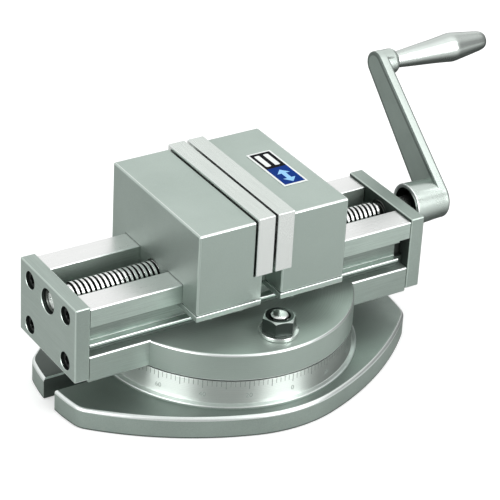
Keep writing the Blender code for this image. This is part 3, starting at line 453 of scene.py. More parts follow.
def prism(points, depth, plane="XY", at=0.0, r=0.0, seg=3, both=True):
    """A flat outline extruded from the plane's coordinate `at`, its end edges rounded by r."""
    bm = bmesh.new()
    vs = [bm.verts.new((a, b, 0)) for a, b in points]
    face = bm.faces.new(vs)
    ext = bmesh.ops.extrude_face_region(bm, geom=[face])
    top = [v for v in ext["geom"] if isinstance(v, bmesh.types.BMVert)]
    bmesh.ops.translate(bm, vec=(0, 0, depth), verts=top)
    bmesh.ops.recalc_face_normals(bm, faces=bm.faces)
    if r:
        caps = [f for f in bm.faces if abs(f.normal.z) > 0.99 and (both or f.calc_center_median().z > depth / 2)]
        edges = list({e for f in caps for e in f.edges})
        bmesh.ops.bevel(bm, geom=edges, offset=r, segments=seg, profile=0.5, affect='EDGES', clamp_overlap=False)
    if plane == "YZ":
        m = Matrix(((0, 0, 1), (1, 0, 0), (0, 1, 0)))
    elif plane == "XZ":
        m = Matrix(((1, 0, 0), (0, 0, -1), (0, 1, 0)))
    else:
        m = Matrix.Identity(3)
    bmesh.ops.rotate(bm, cent=(0, 0, 0), matrix=m, verts=bm.verts)
    shift = {"YZ": (at, 0, 0), "XZ": (0, at + depth, 0), "XY": (0, 0, at)}[plane]
    bmesh.ops.translate(bm, vec=shift, verts=bm.verts)
    return bm


def loft(rings):
    """Closed shape through a stack of outlines of equal length: rings = [points3d, ...]."""
    bm = bmesh.new()
    rows = [[bm.verts.new(p) for p in pts] for pts in rings]
    n = len(rows[0])
    bm.faces.new(rows[0])
    bm.faces.new(rows[-1])
    for a, b in zip(rows, rows[1:]):
        for j in range(n):
            k = (j + 1) % n
            bm.faces.new((a[j], a[k], b[k], b[j]))
    bmesh.ops.recalc_face_normals(bm, faces=bm.faces)
    return bm


def arc(cx, cy, r, a0, a1, n):
    return [(cx + r * math.cos(math.radians(a0 + (a1 - a0) * i / n)),
             cy + r * math.sin(math.radians(a0 + (a1 - a0) * i / n))) for i in range(n + 1)]


def fillet(points, radii, n=4):
    """Round a polygon's corners; radii is one number or one per corner."""
    out, count = [], len(points)
    for i in range(count):
        cur = Vector(points[i])
        r = radii if isinstance(radii, (int, float)) else radii[i]
        if r <= 0:
            out.append(tuple(cur))
            continue
        p = Vector(points[i - 1]) - cur
        q = Vector(points[(i + 1) % count]) - cur
        half = p.angle(q) / 2
        d = min(r / math.tan(half), p.length * 0.48, q.length * 0.48)
        rr = d * math.tan(half)
        c = cur + (p.normalized() + q.normalized()).normalized() * (rr / math.sin(half))
        s, e = cur + p.normalized() * d - c, cur + q.normalized() * d - c
        a0, a1 = math.atan2(s.y, s.x), math.atan2(e.y, e.x)
        sweep = (a1 - a0 + math.pi) % (2 * math.pi) - math.pi
        for j in range(n + 1):
            a = a0 + sweep * j / n
            out.append((c.x + rr * math.cos(a), c.y + rr * math.sin(a)))
    return out


def edge_box(c, n):
    return max(abs(n.x), abs(n.y), abs(n.z)) < 0.985


def edge_round(c, n):
    return 0.12 < abs(n.z) < 0.985


def piece(name, ob, body, nodes, mats, paint=None, sharp=38.0, weighted=True):
    """Finish a work object: clean mesh, materials by face, smooth shading, body and CAD node."""
    me = ob.data
    bm = bmesh.new()
    bm.from_mesh(me)
    bmesh.ops.remove_doubles(bm, verts=bm.verts, dist=2e-6)
    bmesh.ops.dissolve_degenerate(bm, edges=bm.edges, dist=1e-6)
    bm.to_mesh(me)
    bm.free()
    me.materials.clear()
    for m in mats:
        me.materials.append(M[m])
    for f in me.polygons:
        f.material_index = 0
    if paint:
        for f in me.polygons:
            f.material_index = paint(f.center * 1000.0, f.normal)
    me.shade_smooth()
    me.set_sharp_from_angle(angle=math.radians(sharp))
    new = bpy.data.objects.new(name, me)
    PIECES.objects.link(new)
    bpy.data.objects.remove(ob, do_unlink=True)
    if weighted:
        mod = new.modifiers.new("face_weighted", 'WEIGHTED_NORMAL')
        mod.keep_sharp = True
        mod.weight = 80
    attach(new, body)
    if nodes:
        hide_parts(*nodes)
    return new


# ------------------------------------------------------------------ screws and threads
def threaded(stations, n, axis_at=(0, 0, 0), along=(1, 0, 0)):
    """A body of revolution along +X with helical threads.

    stations: ("ring", x, r) or ("thread", x0, x1, hand, pitch, profile, root), where profile is
    (share of pitch, radius) from root to crest. Each thread runs in from the root and out again.
    """
    bm = bmesh.new()

    def ring(x, r):
        return [bm.verts.new((x, r * math.cos(2 * math.pi * j / n), r * math.sin(2 * math.pi * j / n))) for j in range(n)]

    cur = None
    for st in stations:
        if st[0] == "ring":
            nxt = ring(st[1], st[2])
            if cur is None:
                bm.faces.new(nxt)
            else:
                for j in range(n):
                    bm.faces.new((cur[j], cur[(j + 1) % n], nxt[(j + 1) % n], nxt[j]))
            cur = nxt
            continue
        _, x0, x1, hand, pitch, prof, root = st
        k = len(prof)
        turns = int((x1 - x0) / pitch) - 1
        m = k * turns
        order = list(range(n)) if hand > 0 else [0] + list(range(n - 1, 0, -1))
        cols = []
        for c, j in enumerate(order):
            ang = 2 * math.pi * j / n
            col = []
            for i in range(m + 1):
                off, r = prof[i % k]
                at = i // k + c / n
                run = max(0.0, min(1.0, at / 0.3, (turns - at) / 0.3))
                rr = root + (r - root) * run
                col.append(bm.verts.new((x0 + (i // k) * pitch + off * pitch + pitch * c / n,
                                         rr * math.cos(ang), rr * math.sin(ang))))
            cols.append(col)
        first = [cur[j] for j in order]
        after = ring(x0 + (turns + 1) * pitch + 0.4, root)
        last = [after[j] for j in order]
        for c in range(n - 1):
            a, b = cols[c], cols[c + 1]
            bm.faces.new((first[c], first[c + 1], b[0], a[0]))
            for i in range(m):
                bm.faces.new((a[i], b[i], b[i + 1], a[i + 1]))
            bm.faces.new((a[m], b[m], last[c + 1], last[c]))
        a, b = cols[n - 1], cols[0]
        bm.faces.new([first[n - 1], first[0]] + [b[i] for i in range(k + 1)] + [a[0]])
        for i in range(m - k):
            bm.faces.new((a[i], b[i + k], b[i + k + 1], a[i + 1]))
        bm.faces.new([b[m], last[0], last[n - 1]] + [a[i] for i in range(m, m - k - 1, -1)])
        cur = after
    bm.faces.new(cur)
    quat = Vector((1, 0, 0)).rotation_difference(Vector(along).normalized())
    bmesh.ops.rotate(bm, cent=(0, 0, 0), matrix=quat.to_matrix(), verts=bm.verts)
    bmesh.ops.translate(bm, vec=axis_at, verts=bm.verts)
    return bm


def cap_screw(name, node, head_at, axis, head_r, head_h, shank_r, shank_l, hex_af, body,
              mat="black"):
    """Socket head cap screw with a knurled head, rounded top edge, hexagon socket and chamfered shank end."""
    a = Vector(axis).normalized()
    p = Vector(head_at)
    k = head_r / 5.0
    prof = [(0, 0), (head_r - 0.75 * k, 0), (head_r - 0.25 * k, 0.18 * k), (head_r, 0.7 * k),
            (head_r, head_h - 0.25), (head_r - 0.25, head_h), (shank_r, head_h),
            (shank_r, head_h + shank_l - 0.6), (shank_r - 0.6, head_h + shank_l), (0, head_h + shank_l)]
    knurled = {3, 4}
    body_ob = temp(spin(prof, 72, p, a, ripple=lambda i, j: (1.0 - 0.022 * (j % 2)) if i in knurled else 1.0))
    af = hex_af / math.sqrt(3.0)
    depth = head_h * 0.55
    sock = spin([(0, -1), (af, -1), (af, depth), (0, depth + af * 0.45)], 6, p, a, turn=math.radians(12))
    mouth = spin([(0, -0.6), (af * 0.93 + 0.75, -0.6), (af * 0.93 - 0.35, 0.5), (0, 0.5)], 36, p, a)
    cut_each(body_ob, sock, mouth)
    return piece(name, body_ob, body, [node], [mat])


# ------------------------------------------------------------------ swivel base
def base_outline(inset=0.0):
    """Round sides, long shallow flanks, rounded lug corners and end arcs about the axis, all tangent."""
    a = math.radians(SIDE_TURN - 90)
    fx, fy = (BASE_SIDE - FLANK_R) * math.cos(a), (BASE_SIDE - FLANK_R) * math.sin(a)
    d, p, q = math.hypot(fx, fy), FLANK_R - LUG_R, BASE_END - 0.1 - LUG_R
    along = (q * q - p * p + d * d) / (2 * d)
    off = math.sqrt(q * q - along * along)
    kx, ky = (fx * along + fy * off) / d, (fy * along - fx * off) / d
    b, c = math.degrees(math.atan2(ky - fy, kx - fx)), math.degrees(math.atan2(ky, kx))
    quarter = (arc(0, 0, BASE_SIDE - inset, -90, SIDE_TURN - 90, 14) +
               arc(fx, fy, FLANK_R - inset, SIDE_TURN - 90, b, 26)[1:] +
               arc(kx, ky, LUG_R - inset, b, c, 18)[1:] + arc(0, 0, BASE_END - 0.1 - inset, c, 0, 14)[1:])
    q2 = [(x, -y) for x, y in reversed(quarter[:-1])]
    right = quarter + q2
    left = [(-x, y) for x, y in reversed(right)]
    return right + left[1:-1]


def base_slab():
    """The foot plate: a stack of the outline, its top edge rounded over."""
    levels = [(0.0, 0.3), (0.3, 0.0), (1.0, 0.0)]
    r = 2.3
    levels += [(BASE_T - r + r * math.sin(t), r - r * math.cos(t)) for t in [math.radians(18 * i) for i in range(6)]]
    return loft([[(x, y, z) for x, y in base_outline(inset)] for z, inset in levels])


base = temp(base_slab(), "base")
join(base, spin([(0, RING_TOP), (RING_R - 0.7, RING_TOP), (RING_R - 0.2, RING_TOP - 0.2), (RING_R, RING_TOP - 0.7),
                 (RING_R, BASE_T + FOOT_T + 0.8), (RING_R + 0.25, BASE_T + FOOT_T + 0.25), (RING_R + 0.8, BASE_T + FOOT_T),
                 (FOOT_R - 0.9, BASE_T + FOOT_T), (FOOT_R - 0.26, BASE_T + FOOT_T - 0.26), (FOOT_R, BASE_T + FOOT_T - 0.9),
                 (FOOT_R, BASE_T - 3), (0, BASE_T - 3)], 240))
tee = spin([(TEE_R - TEE_NECK / 2, RING_TOP + 2), (TEE_R + TEE_NECK / 2, RING_TOP + 2),
            (TEE_R + TEE_NECK / 2, TEE_ROOF), (TEE_R + TEE_WIDE / 2, TEE_ROOF),
            (TEE_R + TEE_WIDE / 2, TEE_FLOOR), (TEE_R - TEE_WIDE / 2, TEE_FLOOR),
            (TEE_R - TEE_WIDE / 2, TEE_ROOF), (TEE_R - TEE_NECK / 2, TEE_ROOF)], 120)
entry = rod((TEE_R * math.cos(math.radians(40)), TEE_R * math.sin(math.radians(40)), TEE_ROOF - 4), (0, 0, 1),
            RING_TOP - TEE_ROOF + 6, 14.2, segs=48)
cut_each(base, tee, entry, rod((0, 0, 8.0), (0, 0, 1), 30, PIN_R + 0.4))
for s in (-1, 1):
    def slot(off, z):
        pts = arc(s * LUG_X, 0, LUG_W / 2 + off, 90 if s > 0 else -90, 270 if s > 0 else 90, 24)
        pts += [(s * (BASE_END + 6), pts[-1][1]), (s * (BASE_END + 6), pts[0][1])]
        return [(x, y, z) for x, y in pts]
    cut(base, loft([slot(0.0, -3), slot(0.0, BASE_T - 0.9), slot(2.9, BASE_T + 2.0)]))


def paint_base(c, n):
    r = math.hypot(c.x, c.y)
    # painted shade: undersides and the lowest 0.95 mm of the side wall take the black shade material, a dark line along
    # the bottom edge
    if n.z < -0.3 or c.z < 0.95:
        return 3
    # painted shade: the hold-down slot walls in the black shade material
    if r > FOOT_R and abs(c.y) < LUG_W / 2 + 0.1 and abs(n.z) < 0.2 and c.z < BASE_T and abs(c.x) < BASE_END - 1.5:
        return 3
    # the flat top takes its darker copy: painted shade, plus the painted light and shade patches
    if n.z > 0.97 and c.z < BASE_T + 0.1:
        return 4
    if abs(n.z) < 0.5 and abs(r - RING_R) < 0.6 and c.z > BASE_T + 1.0:
        return 1
    if c.z > BASE_T - 2.0 and 0.12 < abs(n.z) < 0.97:
        return 2
    if r < FOOT_R + 0.4 and c.z > BASE_T + 0.05 and n.z > 0.5 and r > RING_R - 1:
        return 2
    return 0


piece("swivel_base_casting", base, "base", ["swivel_base"], ["cast", "ring", "edge", "iron_painted_shade", "cast_top_painted_shade_and_light"], paint_base)

# graduation: a filled line every two degrees, longer every ten, numerals every twenty
grads = []
for i in range(180):
    deg = -90 + 2 * i
    long = i % 5 == 0
    z0 = 26.0 if long else 27.6
    g = bm_box(RING_R - 0.5, RING_R + 0.05, -0.21 if long else -0.16, 0.21 if long else 0.16, z0, 31.0)
    bmesh.ops.rotate(g, cent=(0, 0, 0), matrix=Matrix.Rotation(math.radians(deg), 3, 'Z'), verts=g.verts)
    grads.append(g)
piece("base_graduation_lines", temp(merged(*grads)), "base", [], ["dial_ink"], weighted=False)


def numeral(text, size, deg, z_mid, radius, proud=0.05, sink=0.5):
    """A numeral wrapped round the ring, standing upright, centred at an angle."""
    cu = bpy.data.curves.new("num", 'FONT')
    cu.body = text
    cu.size = size
    cu.align_x = 'CENTER'
    cu.align_y = 'CENTER'
    cu.extrude = 0.5
    cu.resolution_u = 3
    ob = bpy.data.objects.new("num", cu)
    WORK.objects.link(ob)
    bpy.context.view_layer.update()
    me = bpy.data.meshes.new_from_object(ob.evaluated_get(bpy.context.evaluated_depsgraph_get()))
    bpy.data.objects.remove(ob, do_unlink=True)
    bm = bmesh.new()
    bm.from_mesh(me)
    bpy.data.meshes.remove(me)
    bmesh.ops.remove_doubles(bm, verts=bm.verts, dist=1e-4)
    for v in bm.verts:
        x, y, z = v.co
        a = math.radians(deg) + x / radius
        r = radius + (proud if z > 0 else -sink)
        v.co = (r * math.cos(a), r * math.sin(a), z_mid + y)
    return bm


nums = []
for i in range(18):
    deg = -90 + 20 * i
    away = abs((deg + 90 + 180) % 360 - 180)
    nums.append(numeral(str(int(min(away, 180 - away))), 4.3, deg, 21.6, RING_R))
piece("base_graduation_numerals", temp(merged(*nums)), "base", [], ["dial_faint"], weighted=False)

pin = temp(spin([(0, 43.6), (PIN_HEAD_R - 1.2, 43.6), (PIN_HEAD_R - 0.3, 43.3), (PIN_HEAD_R, 42.4), (PIN_HEAD_R, 32.0),
                 (PIN_HEAD_R - 0.3, 31.7), (PIN_R + 0.3, 31.7), (PIN_R, 31.3), (PIN_R, 9.1), (PIN_R - 0.8, 8.3), (0, 8.3)], 96))
piece("swivel_pivot_pin_turned", pin, "base", ["swivel_pivot_pin"], ["steel_z"])

# ------------------------------------------------------------------ bed
half = [(BED_Y - 1.2, BED_Z0), (BED_Y, BED_Z0 + 1.2), (BED_Y, DISC_TOP), (GROOVE_Y, DISC_TOP),
        (GROOVE_Y, LIP_Z0), (BED_Y, LIP_Z0), (BED_Y, LIP_Z1), (RECESS_Y, LIP_Z1), (RECESS_Y, FLANGE_Z),
        (BED_Y, FLANGE_Z), (BED_Y, RAIL_TOP), (SLOT_Y, RAIL_TOP), (SLOT_Y, SLOT_Z)]
radii = [0.2, 0.2, 1.1, 0.5, 0.4, 0.5, 0.8, 0.5, 0.5, 0.7, 0.9, 0.8, 1.2]
section = fillet(half + [(-y, z) for y, z in reversed(half)], radii + radii[::-1])
bed = temp(prism(section, 2 * BED_X, "YZ", -BED_X), "bed")
R = DISC_R
join(bed, spin([(0, DISC_TOP), (R - 1.4, DISC_TOP), (R - 0.87, DISC_TOP - 0.1), (R - 0.41, DISC_TOP - 0.41),
                (R - 0.1, DISC_TOP - 0.87), (R, DISC_TOP - 1.4), (R, BED_Z0 + 0.8), (R - 0.25, BED_Z0 + 0.25),
                (R - 0.8, BED_Z0), (0, BED_Z0)], 240))
cut(bed, rod((0, 0, BED_Z0 - 2), (0, 0, 1), 14.0, PIN_HEAD_R + 0.4))
tools = []
for s in (-1, 1):
    tools.append(drill((0, s * TEE_R, DISC_TOP), (0, 0, -1), 24, 6.6, 0.5, point=False))
    for e in (-1, 1):
        for z in (BOLT_ZU, BOLT_ZL):
            tools.append(drill((e * BED_X, s * BOLT_Y, z), (-e, 0, 0), 15, 3.4, 0.4, segs=32))
for s in (1, -1):
    tools.append(rod((s * 7.6, s * 12.0, 44.0), (0, 0, 1), 14, 2.4, segs=24))
cut(bed, *tools)
for s in (-1, 1):
    y0, y1 = sorted((s * 24.0, s * 40.0))
    cut(bed, bm_box(RELIEF_X, BED_X + 4, y0, y1, LIP_Z0 - 0.01, FLANGE_Z + 1.6))


def paint_bed(c, n):
    r = math.hypot(c.x, c.y)
    a = max(abs(n.x), abs(n.y), abs(n.z))
    if abs(c.y) < SLOT_Y + 0.02 and c.z < RAIL_TOP - 1.0:
        return 3                                   # trough
    # painted shade: undersides in the black shade material
    if n.z < -0.9:
        return 7                                   # undersides
    if n.z > 0.97 and c.z > RAIL_TOP - 0.05:
        return 2                                   # ground rail tops
    if c.z < DISC_TOP + 0.1 and abs(n.z) < 0.12 and abs(r - DISC_R) < 0.3 and abs(n.x * c.y - n.y * c.x) < 3:
        return 5                                   # disc side
    if n.z > 0.97 and abs(c.z - DISC_TOP) < 0.05:
        return 4                                   # disc top
    # painted shade: relief pocket walls near-black
    if c.x > RELIEF_X - 0.1 and 23.9 < abs(c.y) < RECESS_Y + 0.2 and LIP_Z0 - 0.1 < c.z < FLANGE_Z + 1.7:
        return 9
    # painted shade: the recessed band and the flange's lower edge in the darker recess copy
    if abs(c.y) < RECESS_Y + 0.1 and LIP_Z1 - 0.1 < c.z < FLANGE_Z + 0.1:
        return 6
    if a < 0.985 and abs(c.z - FLANGE_Z) < 0.95 and abs(c.y) > RECESS_Y:
        return 6
    # painted shade: the lip's edge and the groove below it in the black shade material
    if a < 0.985 and abs(c.z - LIP_Z0) < 0.75 and abs(c.y) > GROOVE_Y:
        return 7
    if abs(c.y) < GROOVE_Y + 0.5 and DISC_TOP < c.z < LIP_Z0 + 0.05:
        return 7
    if a < 0.985 and abs(n.x) < 0.97 and not (abs(n.z) < 0.12 and abs(r - DISC_R) < 0.3):
        return 1
    # painted shade: the lower body sides in their darker copy
    if abs(n.y) > 0.97 and c.z < DISC_TOP - 1.0:
        return 8
    return 0


piece("vise_bed_machined", bed, "bed", ["vise_bed"],
      ["iron_flange", "edge", "rail", "iron_dark", "disc_top", "disc_side", "iron_recess", "iron_painted_shade", "iron_low", "pit"], paint_bed)

# ------------------------------------------------------------------ end plates
for e, end in ((-1, "left"), (1, "right")):
    xi, xo = e * PLATE_XI, e * PLATE_XO
    plate = temp(bm_box(xi, xo, -PLATE_Y, PLATE_Y, PLATE_Z0, PLATE_Z1, r=0.8, seg=4))
    shaft_r = TAIL_R if e < 0 else JOURNAL_R
    holes = [drill((xo, 0, SCREW_Z), (-e, 0, 0), 14, shaft_r + 2.25, 0.35, segs=72, point=False)]
    thru = []
    n = 0
    for z in (BOLT_ZU, BOLT_ZL):
        for s in (-1, 1):
            n += 1
            holes.append(drill((xo, s * BOLT_Y, z), (-e, 0, 0), 7.2, 5.55, 0.25, segs=56, point=False))
            thru.append(rod((xo - e * 5, s * BOLT_Y, z), (-e, 0, 0), 8, 3.4, segs=32))
            cap_screw("%s_plate_cap_screw_%d" % (end, n), "%s_end_plate_screw_%d" % (end, n),
                      (xo - e * 1.6, s * BOLT_Y, z), (-e, 0, 0), 4.95, 5.3, 2.95, 14.0, 5.0, "bed")
    cut(plate, *holes)
    cut(plate, *thru)
    # painted shade: the inner face against the bed in the black shade material, a dark seam
    piece("%s_end_plate_ground" % end, plate, "bed", ["%s_end_plate" % end], ["plate", "plate_edge", "hole_dark", "edge", "iron_painted_shade"],
          lambda c, n, xo=xo, xi=xi: (4 if abs(n.x) > 0.9 and abs(c.x - xi) < 0.1 else 3 if edge_box(c, n) and c.z < PLATE_Z0 + 1
                               else 1 if edge_box(c, n) and (abs(abs(c.y) - PLATE_Y) < 1.0 or c.z > PLATE_Z1 - 1)
                               else 1 if edge_box(c, n) and 0.3 < abs(n.x) < 0.95 and abs(c.x - xo) < 0.5
                               else 2 if abs(n.x) < 0.3 and abs(c.y) < PLATE_Y - 2 and PLATE_Z0 + 2 < c.z < PLATE_Z1 - 2 else 0))
    bush = temp(spin([(r + shaft_r, x) for r, x in ((0.45, 0.5), (0.85, 0.0), (1.7, 0.0), (1.95, 0.25), (1.95, 6.75), (1.7, 7.0),
                                              (0.85, 7.0), (0.45, 6.5))], 72,
                     (e * PLATE_XI if e > 0 else -PLATE_XI - 7.0, 0, SCREW_Z), (1, 0, 0)))
    piece("%s_end_bush_turned" % end, bush, "bed", ["%s_end_bush" % end], ["bush"])

# ------------------------------------------------------------------ split bearing block
BB_X, BB_Y = 11.0, 16.1
for node, z0, z1 in (("bearing_block_lower", SLOT_Z + GAP, SCREW_Z - 0.15), ("bearing_block_cap", SCREW_Z + 0.15, 79.6)):
    blk = temp(bm_box(-BB_X, BB_X, -BB_Y, BB_Y, z0, z1, r=0.6, seg=3))
    cut_each(blk, spin([(0, -BB_X - 2), (8.5 + 1.5, -BB_X - 2), (7.5, -BB_X + 0.5), (7.5, BB_X - 0.5), (10.0, BB_X + 2), (0, BB_X + 2)],
                       72, (0, 0, SCREW_Z), (1, 0, 0)),
             rod((-COLLAR_W / 2 - GAP, 0, SCREW_Z), (1, 0, 0), COLLAR_W + 2 * GAP, 11.0, segs=72))
    holes = [rod((s * 7.6, s * 12.0, 50), (0, 0, 1), 34, 2.5, segs=32) for s in (1, -1)]
    cut(blk, *holes)
    if node.endswith("cap"):
        cut(blk, *[drill((s * 7.6, s * 12.0, 79.6), (0, 0, -1), 3.6, 3.9, 0.3, point=False) for s in (1, -1)])
    # the blocks in the darker copy of the satin iron: painted shade inside the bed
    piece(node + "_bored", blk, "bed", [node], ["iron_shaded", "edge"],
          lambda c, n: 1 if edge_box(c, n) and math.hypot(c.y, c.z - SCREW_Z) > 12.5 else 0)
for i, s in enumerate((1, -1)):
    cap_screw("bearing_block_cap_screw_%d" % (i + 1), "bearing_cap_screw_%d" % (i + 1), (s * 7.6, s * 12.0, 79.9),
              (0, 0, -1), 3.5, 3.6, 2.0, 28.0, 3.0, "bed")

# ------------------------------------------------------------------ lead screw
ACME = [(0.0, ROOT_R), (0.17, ROOT_R), (0.20, ROOT_R + 0.12), (0.34, THREAD_R - 0.12), (0.37, THREAD_R),
        (0.83, THREAD_R), (0.86, THREAD_R - 0.12), (0.98, ROOT_R + 0.12)]
x_end = -PLATE_XO + 2.4
st = [("ring", x_end, 2.6), ("ring", x_end, TAIL_R - 0.9), ("ring", x_end + 0.3, TAIL_R - 0.3), ("ring", x_end + 0.9, TAIL_R),
      ("ring", -BED_X + 0.2, TAIL_R), ("ring", -BED_X + 0.3, ROOT_R - 0.2), ("ring", -BED_X + 0.4, ROOT_R),
      ("thread", -BED_X + 0.6, -12.6, 1, PITCH, ACME, ROOT_R),
      ("ring", -11.6, 7.0), ("ring", -COLLAR_W / 2, 7.0), ("ring", -COLLAR_W / 2, COLLAR_R - 0.4), ("ring", -COLLAR_W / 2 + 0.4, COLLAR_R),
      ("ring", COLLAR_W / 2 - 0.4, COLLAR_R), ("ring", COLLAR_W / 2, COLLAR_R - 0.4), ("ring", COLLAR_W / 2, 7.0),
      ("ring", 11.6, 7.0), ("ring", 12.0, ROOT_R),
      ("thread", 12.6, BED_X - 0.6, -1, PITCH, ACME, ROOT_R),
      ("ring", BED_X - 0.15, ROOT_R - 0.2), ("ring", BED_X - 0.15, JOURNAL_R), ("ring", 150.2, JOURNAL_R), ("ring", 151.0, JOURNAL_R - 0.8)]
screw = temp(threaded(st, 56, (0, 0, SCREW_Z)))
cut(screw, spin([(0, -1), (2.9, -1), (1.5, 1.3), (1.5, 3.2), (0, 4.0)], 40, (x_end, 0, SCREW_Z), (1, 0, 0)))


def paint_screw(c, n):
    if abs(c.x) > BED_X - 0.5 or abs(c.x) < 12.3:
        return 1
    # thread roots take the near-black material: painted shade in the grooves
    return 0 if math.hypot(c.y, c.z - SCREW_Z) > THREAD_R - 0.30 else 2


piece("lead_screw_threaded", screw, "lead_screw", ["lead_screw"], ["screw", "steel", "thread_root"],
      paint_screw, sharp=50, weighted=False)

# ------------------------------------------------------------------ crank
arm_len = math.hypot(TOP_Y, TOP_Z - SCREW_Z)
arm_dir = math.degrees(math.atan2(TOP_Z - SCREW_Z, TOP_Y))
lean = math.degrees(math.asin((HUB_R1 - TOP_R) / arm_len))


def arm_outline(inset, n_top=30, n_hub=42):
    return (arc(TOP_Y, TOP_Z, TOP_R - inset, arm_dir - 90 + lean, arm_dir + 90 - lean, n_top)
            + arc(0, SCREW_Z, HUB_R1 - inset, arm_dir + 90 - lean, arm_dir + 270 + lean, n_hub))


# the arm: crisp inner edge, full round outer edge
X1 = HUB_X1 - 0.6
levels = [(ARM_X0, 2.4)] + [(ARM_X0 + 0.08 + 0.9 * (1 - math.cos(t)), 0.9 * (1 - math.sin(t))) for t in [math.radians(22.5 * i) for i in range(5)]]
levels += [(X1 - 2.0 * (1 - math.sin(t)), 2.0 * (1 - math.cos(t))) for t in [math.radians(15 * i) for i in range(7)]]
crank = temp(loft([[(x, y, z) for y, z in arm_outline(inset)] for x, inset in levels]))
XH = HUB_X1 - HUB_X0
F = 6.4
sweep = temp(spin([(0, 139.0), (11.6, 139.0), (13.10, ARM_X0 - F - 0.4)] +
                  [(13.15 + F - F * math.cos(t), ARM_X0 - F + F * math.sin(t)) for t in [math.radians(9 * i) for i in range(11)]] +
                  [(13.15 + F, ARM_X0 + 0.9), (0, ARM_X0 + 0.9)], 120, (0, 0, SCREW_Z), (1, 0, 0)))
boolean(sweep, loft([[(x, y, z) for y, z in arm_outline(0.06)] for x in (137.0, 151.0)]), 'INTERSECT')
sweep_bm = bmesh.new()
sweep_bm.from_mesh(sweep.data)
bpy.data.objects.remove(sweep, do_unlink=True)
join(crank, sweep_bm)
join(crank,
     spin([(0, 0), (HUB_R0 - 0.9, 0), (HUB_R0 - 0.26, 0.26), (HUB_R0, 0.9), (HUB_R1 - 0.1, XH - 4.2), (HUB_R1 - 0.6, XH - 2.4),
           (HUB_R1 - 1.5, XH - 1.1), (HUB_R1 - 2.8, XH - 0.3), (HUB_R1 - 4.4, XH), (0, XH)], 96, (HUB_X0, 0, SCREW_Z), (1, 0, 0)))
BL = BOSS_X - ARM_X0 - 1.5
skirt = temp(spin([(0, X1 - 0.8), (11.0, X1 - 0.8)] +
                  [(8.15 + 2.8 - 2.8 * math.sin(t), X1 + 2.8 - 2.8 * math.cos(t)) for t in [math.radians(10 * i) for i in range(10)]] +
                  [(0, X1 + 2.8)], 84, (0, TOP_Y, TOP_Z), (1, 0, 0)))
boolean(skirt, loft([[(x, y, z) for y, z in arm_outline(1.6)] for x in (X1 - 3.0, X1 + 6.0)]), 'INTERSECT')
skirt_bm = bmesh.new()
skirt_bm.from_mesh(skirt.data)
bpy.data.objects.remove(skirt, do_unlink=True)
join(crank, skirt_bm)
join(crank,
     spin([(0, 0), (8.0, 0), (8.25, 3.0), (8.2, BL - 3.2), (8.0, BL - 1.9), (7.4, BL - 0.8), (6.6, BL - 0.15), (5.9, BL), (0, BL)],
          84, (ARM_X0 + 1.5, TOP_Y, TOP_Z), (1, 0, 0)))
cut(crank,
    spin([(0, -2), (12.6, -2), (11.3, 0.6), (11.3, 10.6), (10.9, 11.0), (6.7, 11.0), (6.7, 21.4), (0, 21.4)], 96,
         (HUB_X0, 0, SCREW_Z), (1, 0, 0)),
    rod((151.8, TOP_Y, TOP_Z), (1, 0, 0), 20, SPINDLE_R + 0.3, segs=48))
set_dir = Vector((0, math.cos(math.radians(-48)), math.sin(math.radians(-48))))
hub_mid = Vector((145.2, 0, SCREW_Z))
cut(crank, rod(hub_mid + set_dir * 5.0, set_dir, 12, 3.1, segs=32))


def arm_depth(y, z):
    """How far a point lies inside the arm's outline."""
    by, bz = TOP_Y, TOP_Z - SCREW_Z
    ln = math.hypot(by, bz)
    u, v = (y * by + z * bz) / ln, abs(y * bz - z * by) / ln
    t = (HUB_R1 - TOP_R) / ln
    side = HUB_R1 - (u * t + v * math.sqrt(1 - t * t))
    return min(side, TOP_R - math.hypot(y - by, z - bz)) if u > ln else side


def paint_crank(c, n):
    d = math.hypot(c.y, c.z - SCREW_Z)
    # painted shade: the flat inner face in its darker copy, the band along its border and the rolled edge near-black
    if n.x < -0.97 and abs(c.x - ARM_X0) < 0.2:    # flat inner face of the arm in its darker copy and a dark band along its border, both painted shade
        return 4 if d > 19.8 and arm_depth(c.y, c.z - SCREW_Z) < 2.38 else 1
    if d < 11.5 and HUB_X0 + 0.7 < c.x < HUB_X0 + 22:
        return 2                                   # hub bore
    if d < 14 and c.x < HUB_X0 + 1.0:
        return 3                                   # hub rim
    if n.x < -0.12 and c.x < ARM_X0 + 1.1 and d > 19.8:
        return 4                                   # rolled border of the inner face, painted shade
    return 0


piece("crank_arm_forged", crank, "lead_screw", ["crank_arm"], ["crank", "crank_face", "hole_dark", "edge", "crank_rim_painted_shade"],
      paint_crank)
setscrew = temp(spin([(0, 0), (2.2, 0), (2.75, 0.5), (2.75, 5.7), (2.2, 6.2), (0, 6.2)], 40, hub_mid + set_dir * 12.9, -set_dir))
cut(setscrew, spin([(0, -1), (1.5, -1), (1.5, 3.0), (0, 3.8)], 6, hub_mid + set_dir * 12.9, -set_dir))
piece("crank_set_screw_socket", setscrew, "lead_screw", ["crank_set_screw"], ["black"])
spn = temp(spin([(0, 0), (SPINDLE_R - 0.4, 0), (SPINDLE_R, 0.4), (SPINDLE_R, GRIP_X1 - 152.7), (SPINDLE_R - 0.35, GRIP_X1 - 152.2 + 0.2),
                 (SPINDLE_R - 1.0, GRIP_X1 - 152.2 + 0.8), (2.0, GRIP_X1 - 152.2 + 1.2), (0, GRIP_X1 - 152.2 + 1.3)], 64,
                (152.2, TOP_Y, TOP_Z), (1, 0, 0)))
piece("grip_spindle_turned", spn, "lead_screw", ["grip_spindle"], ["steel_z"])


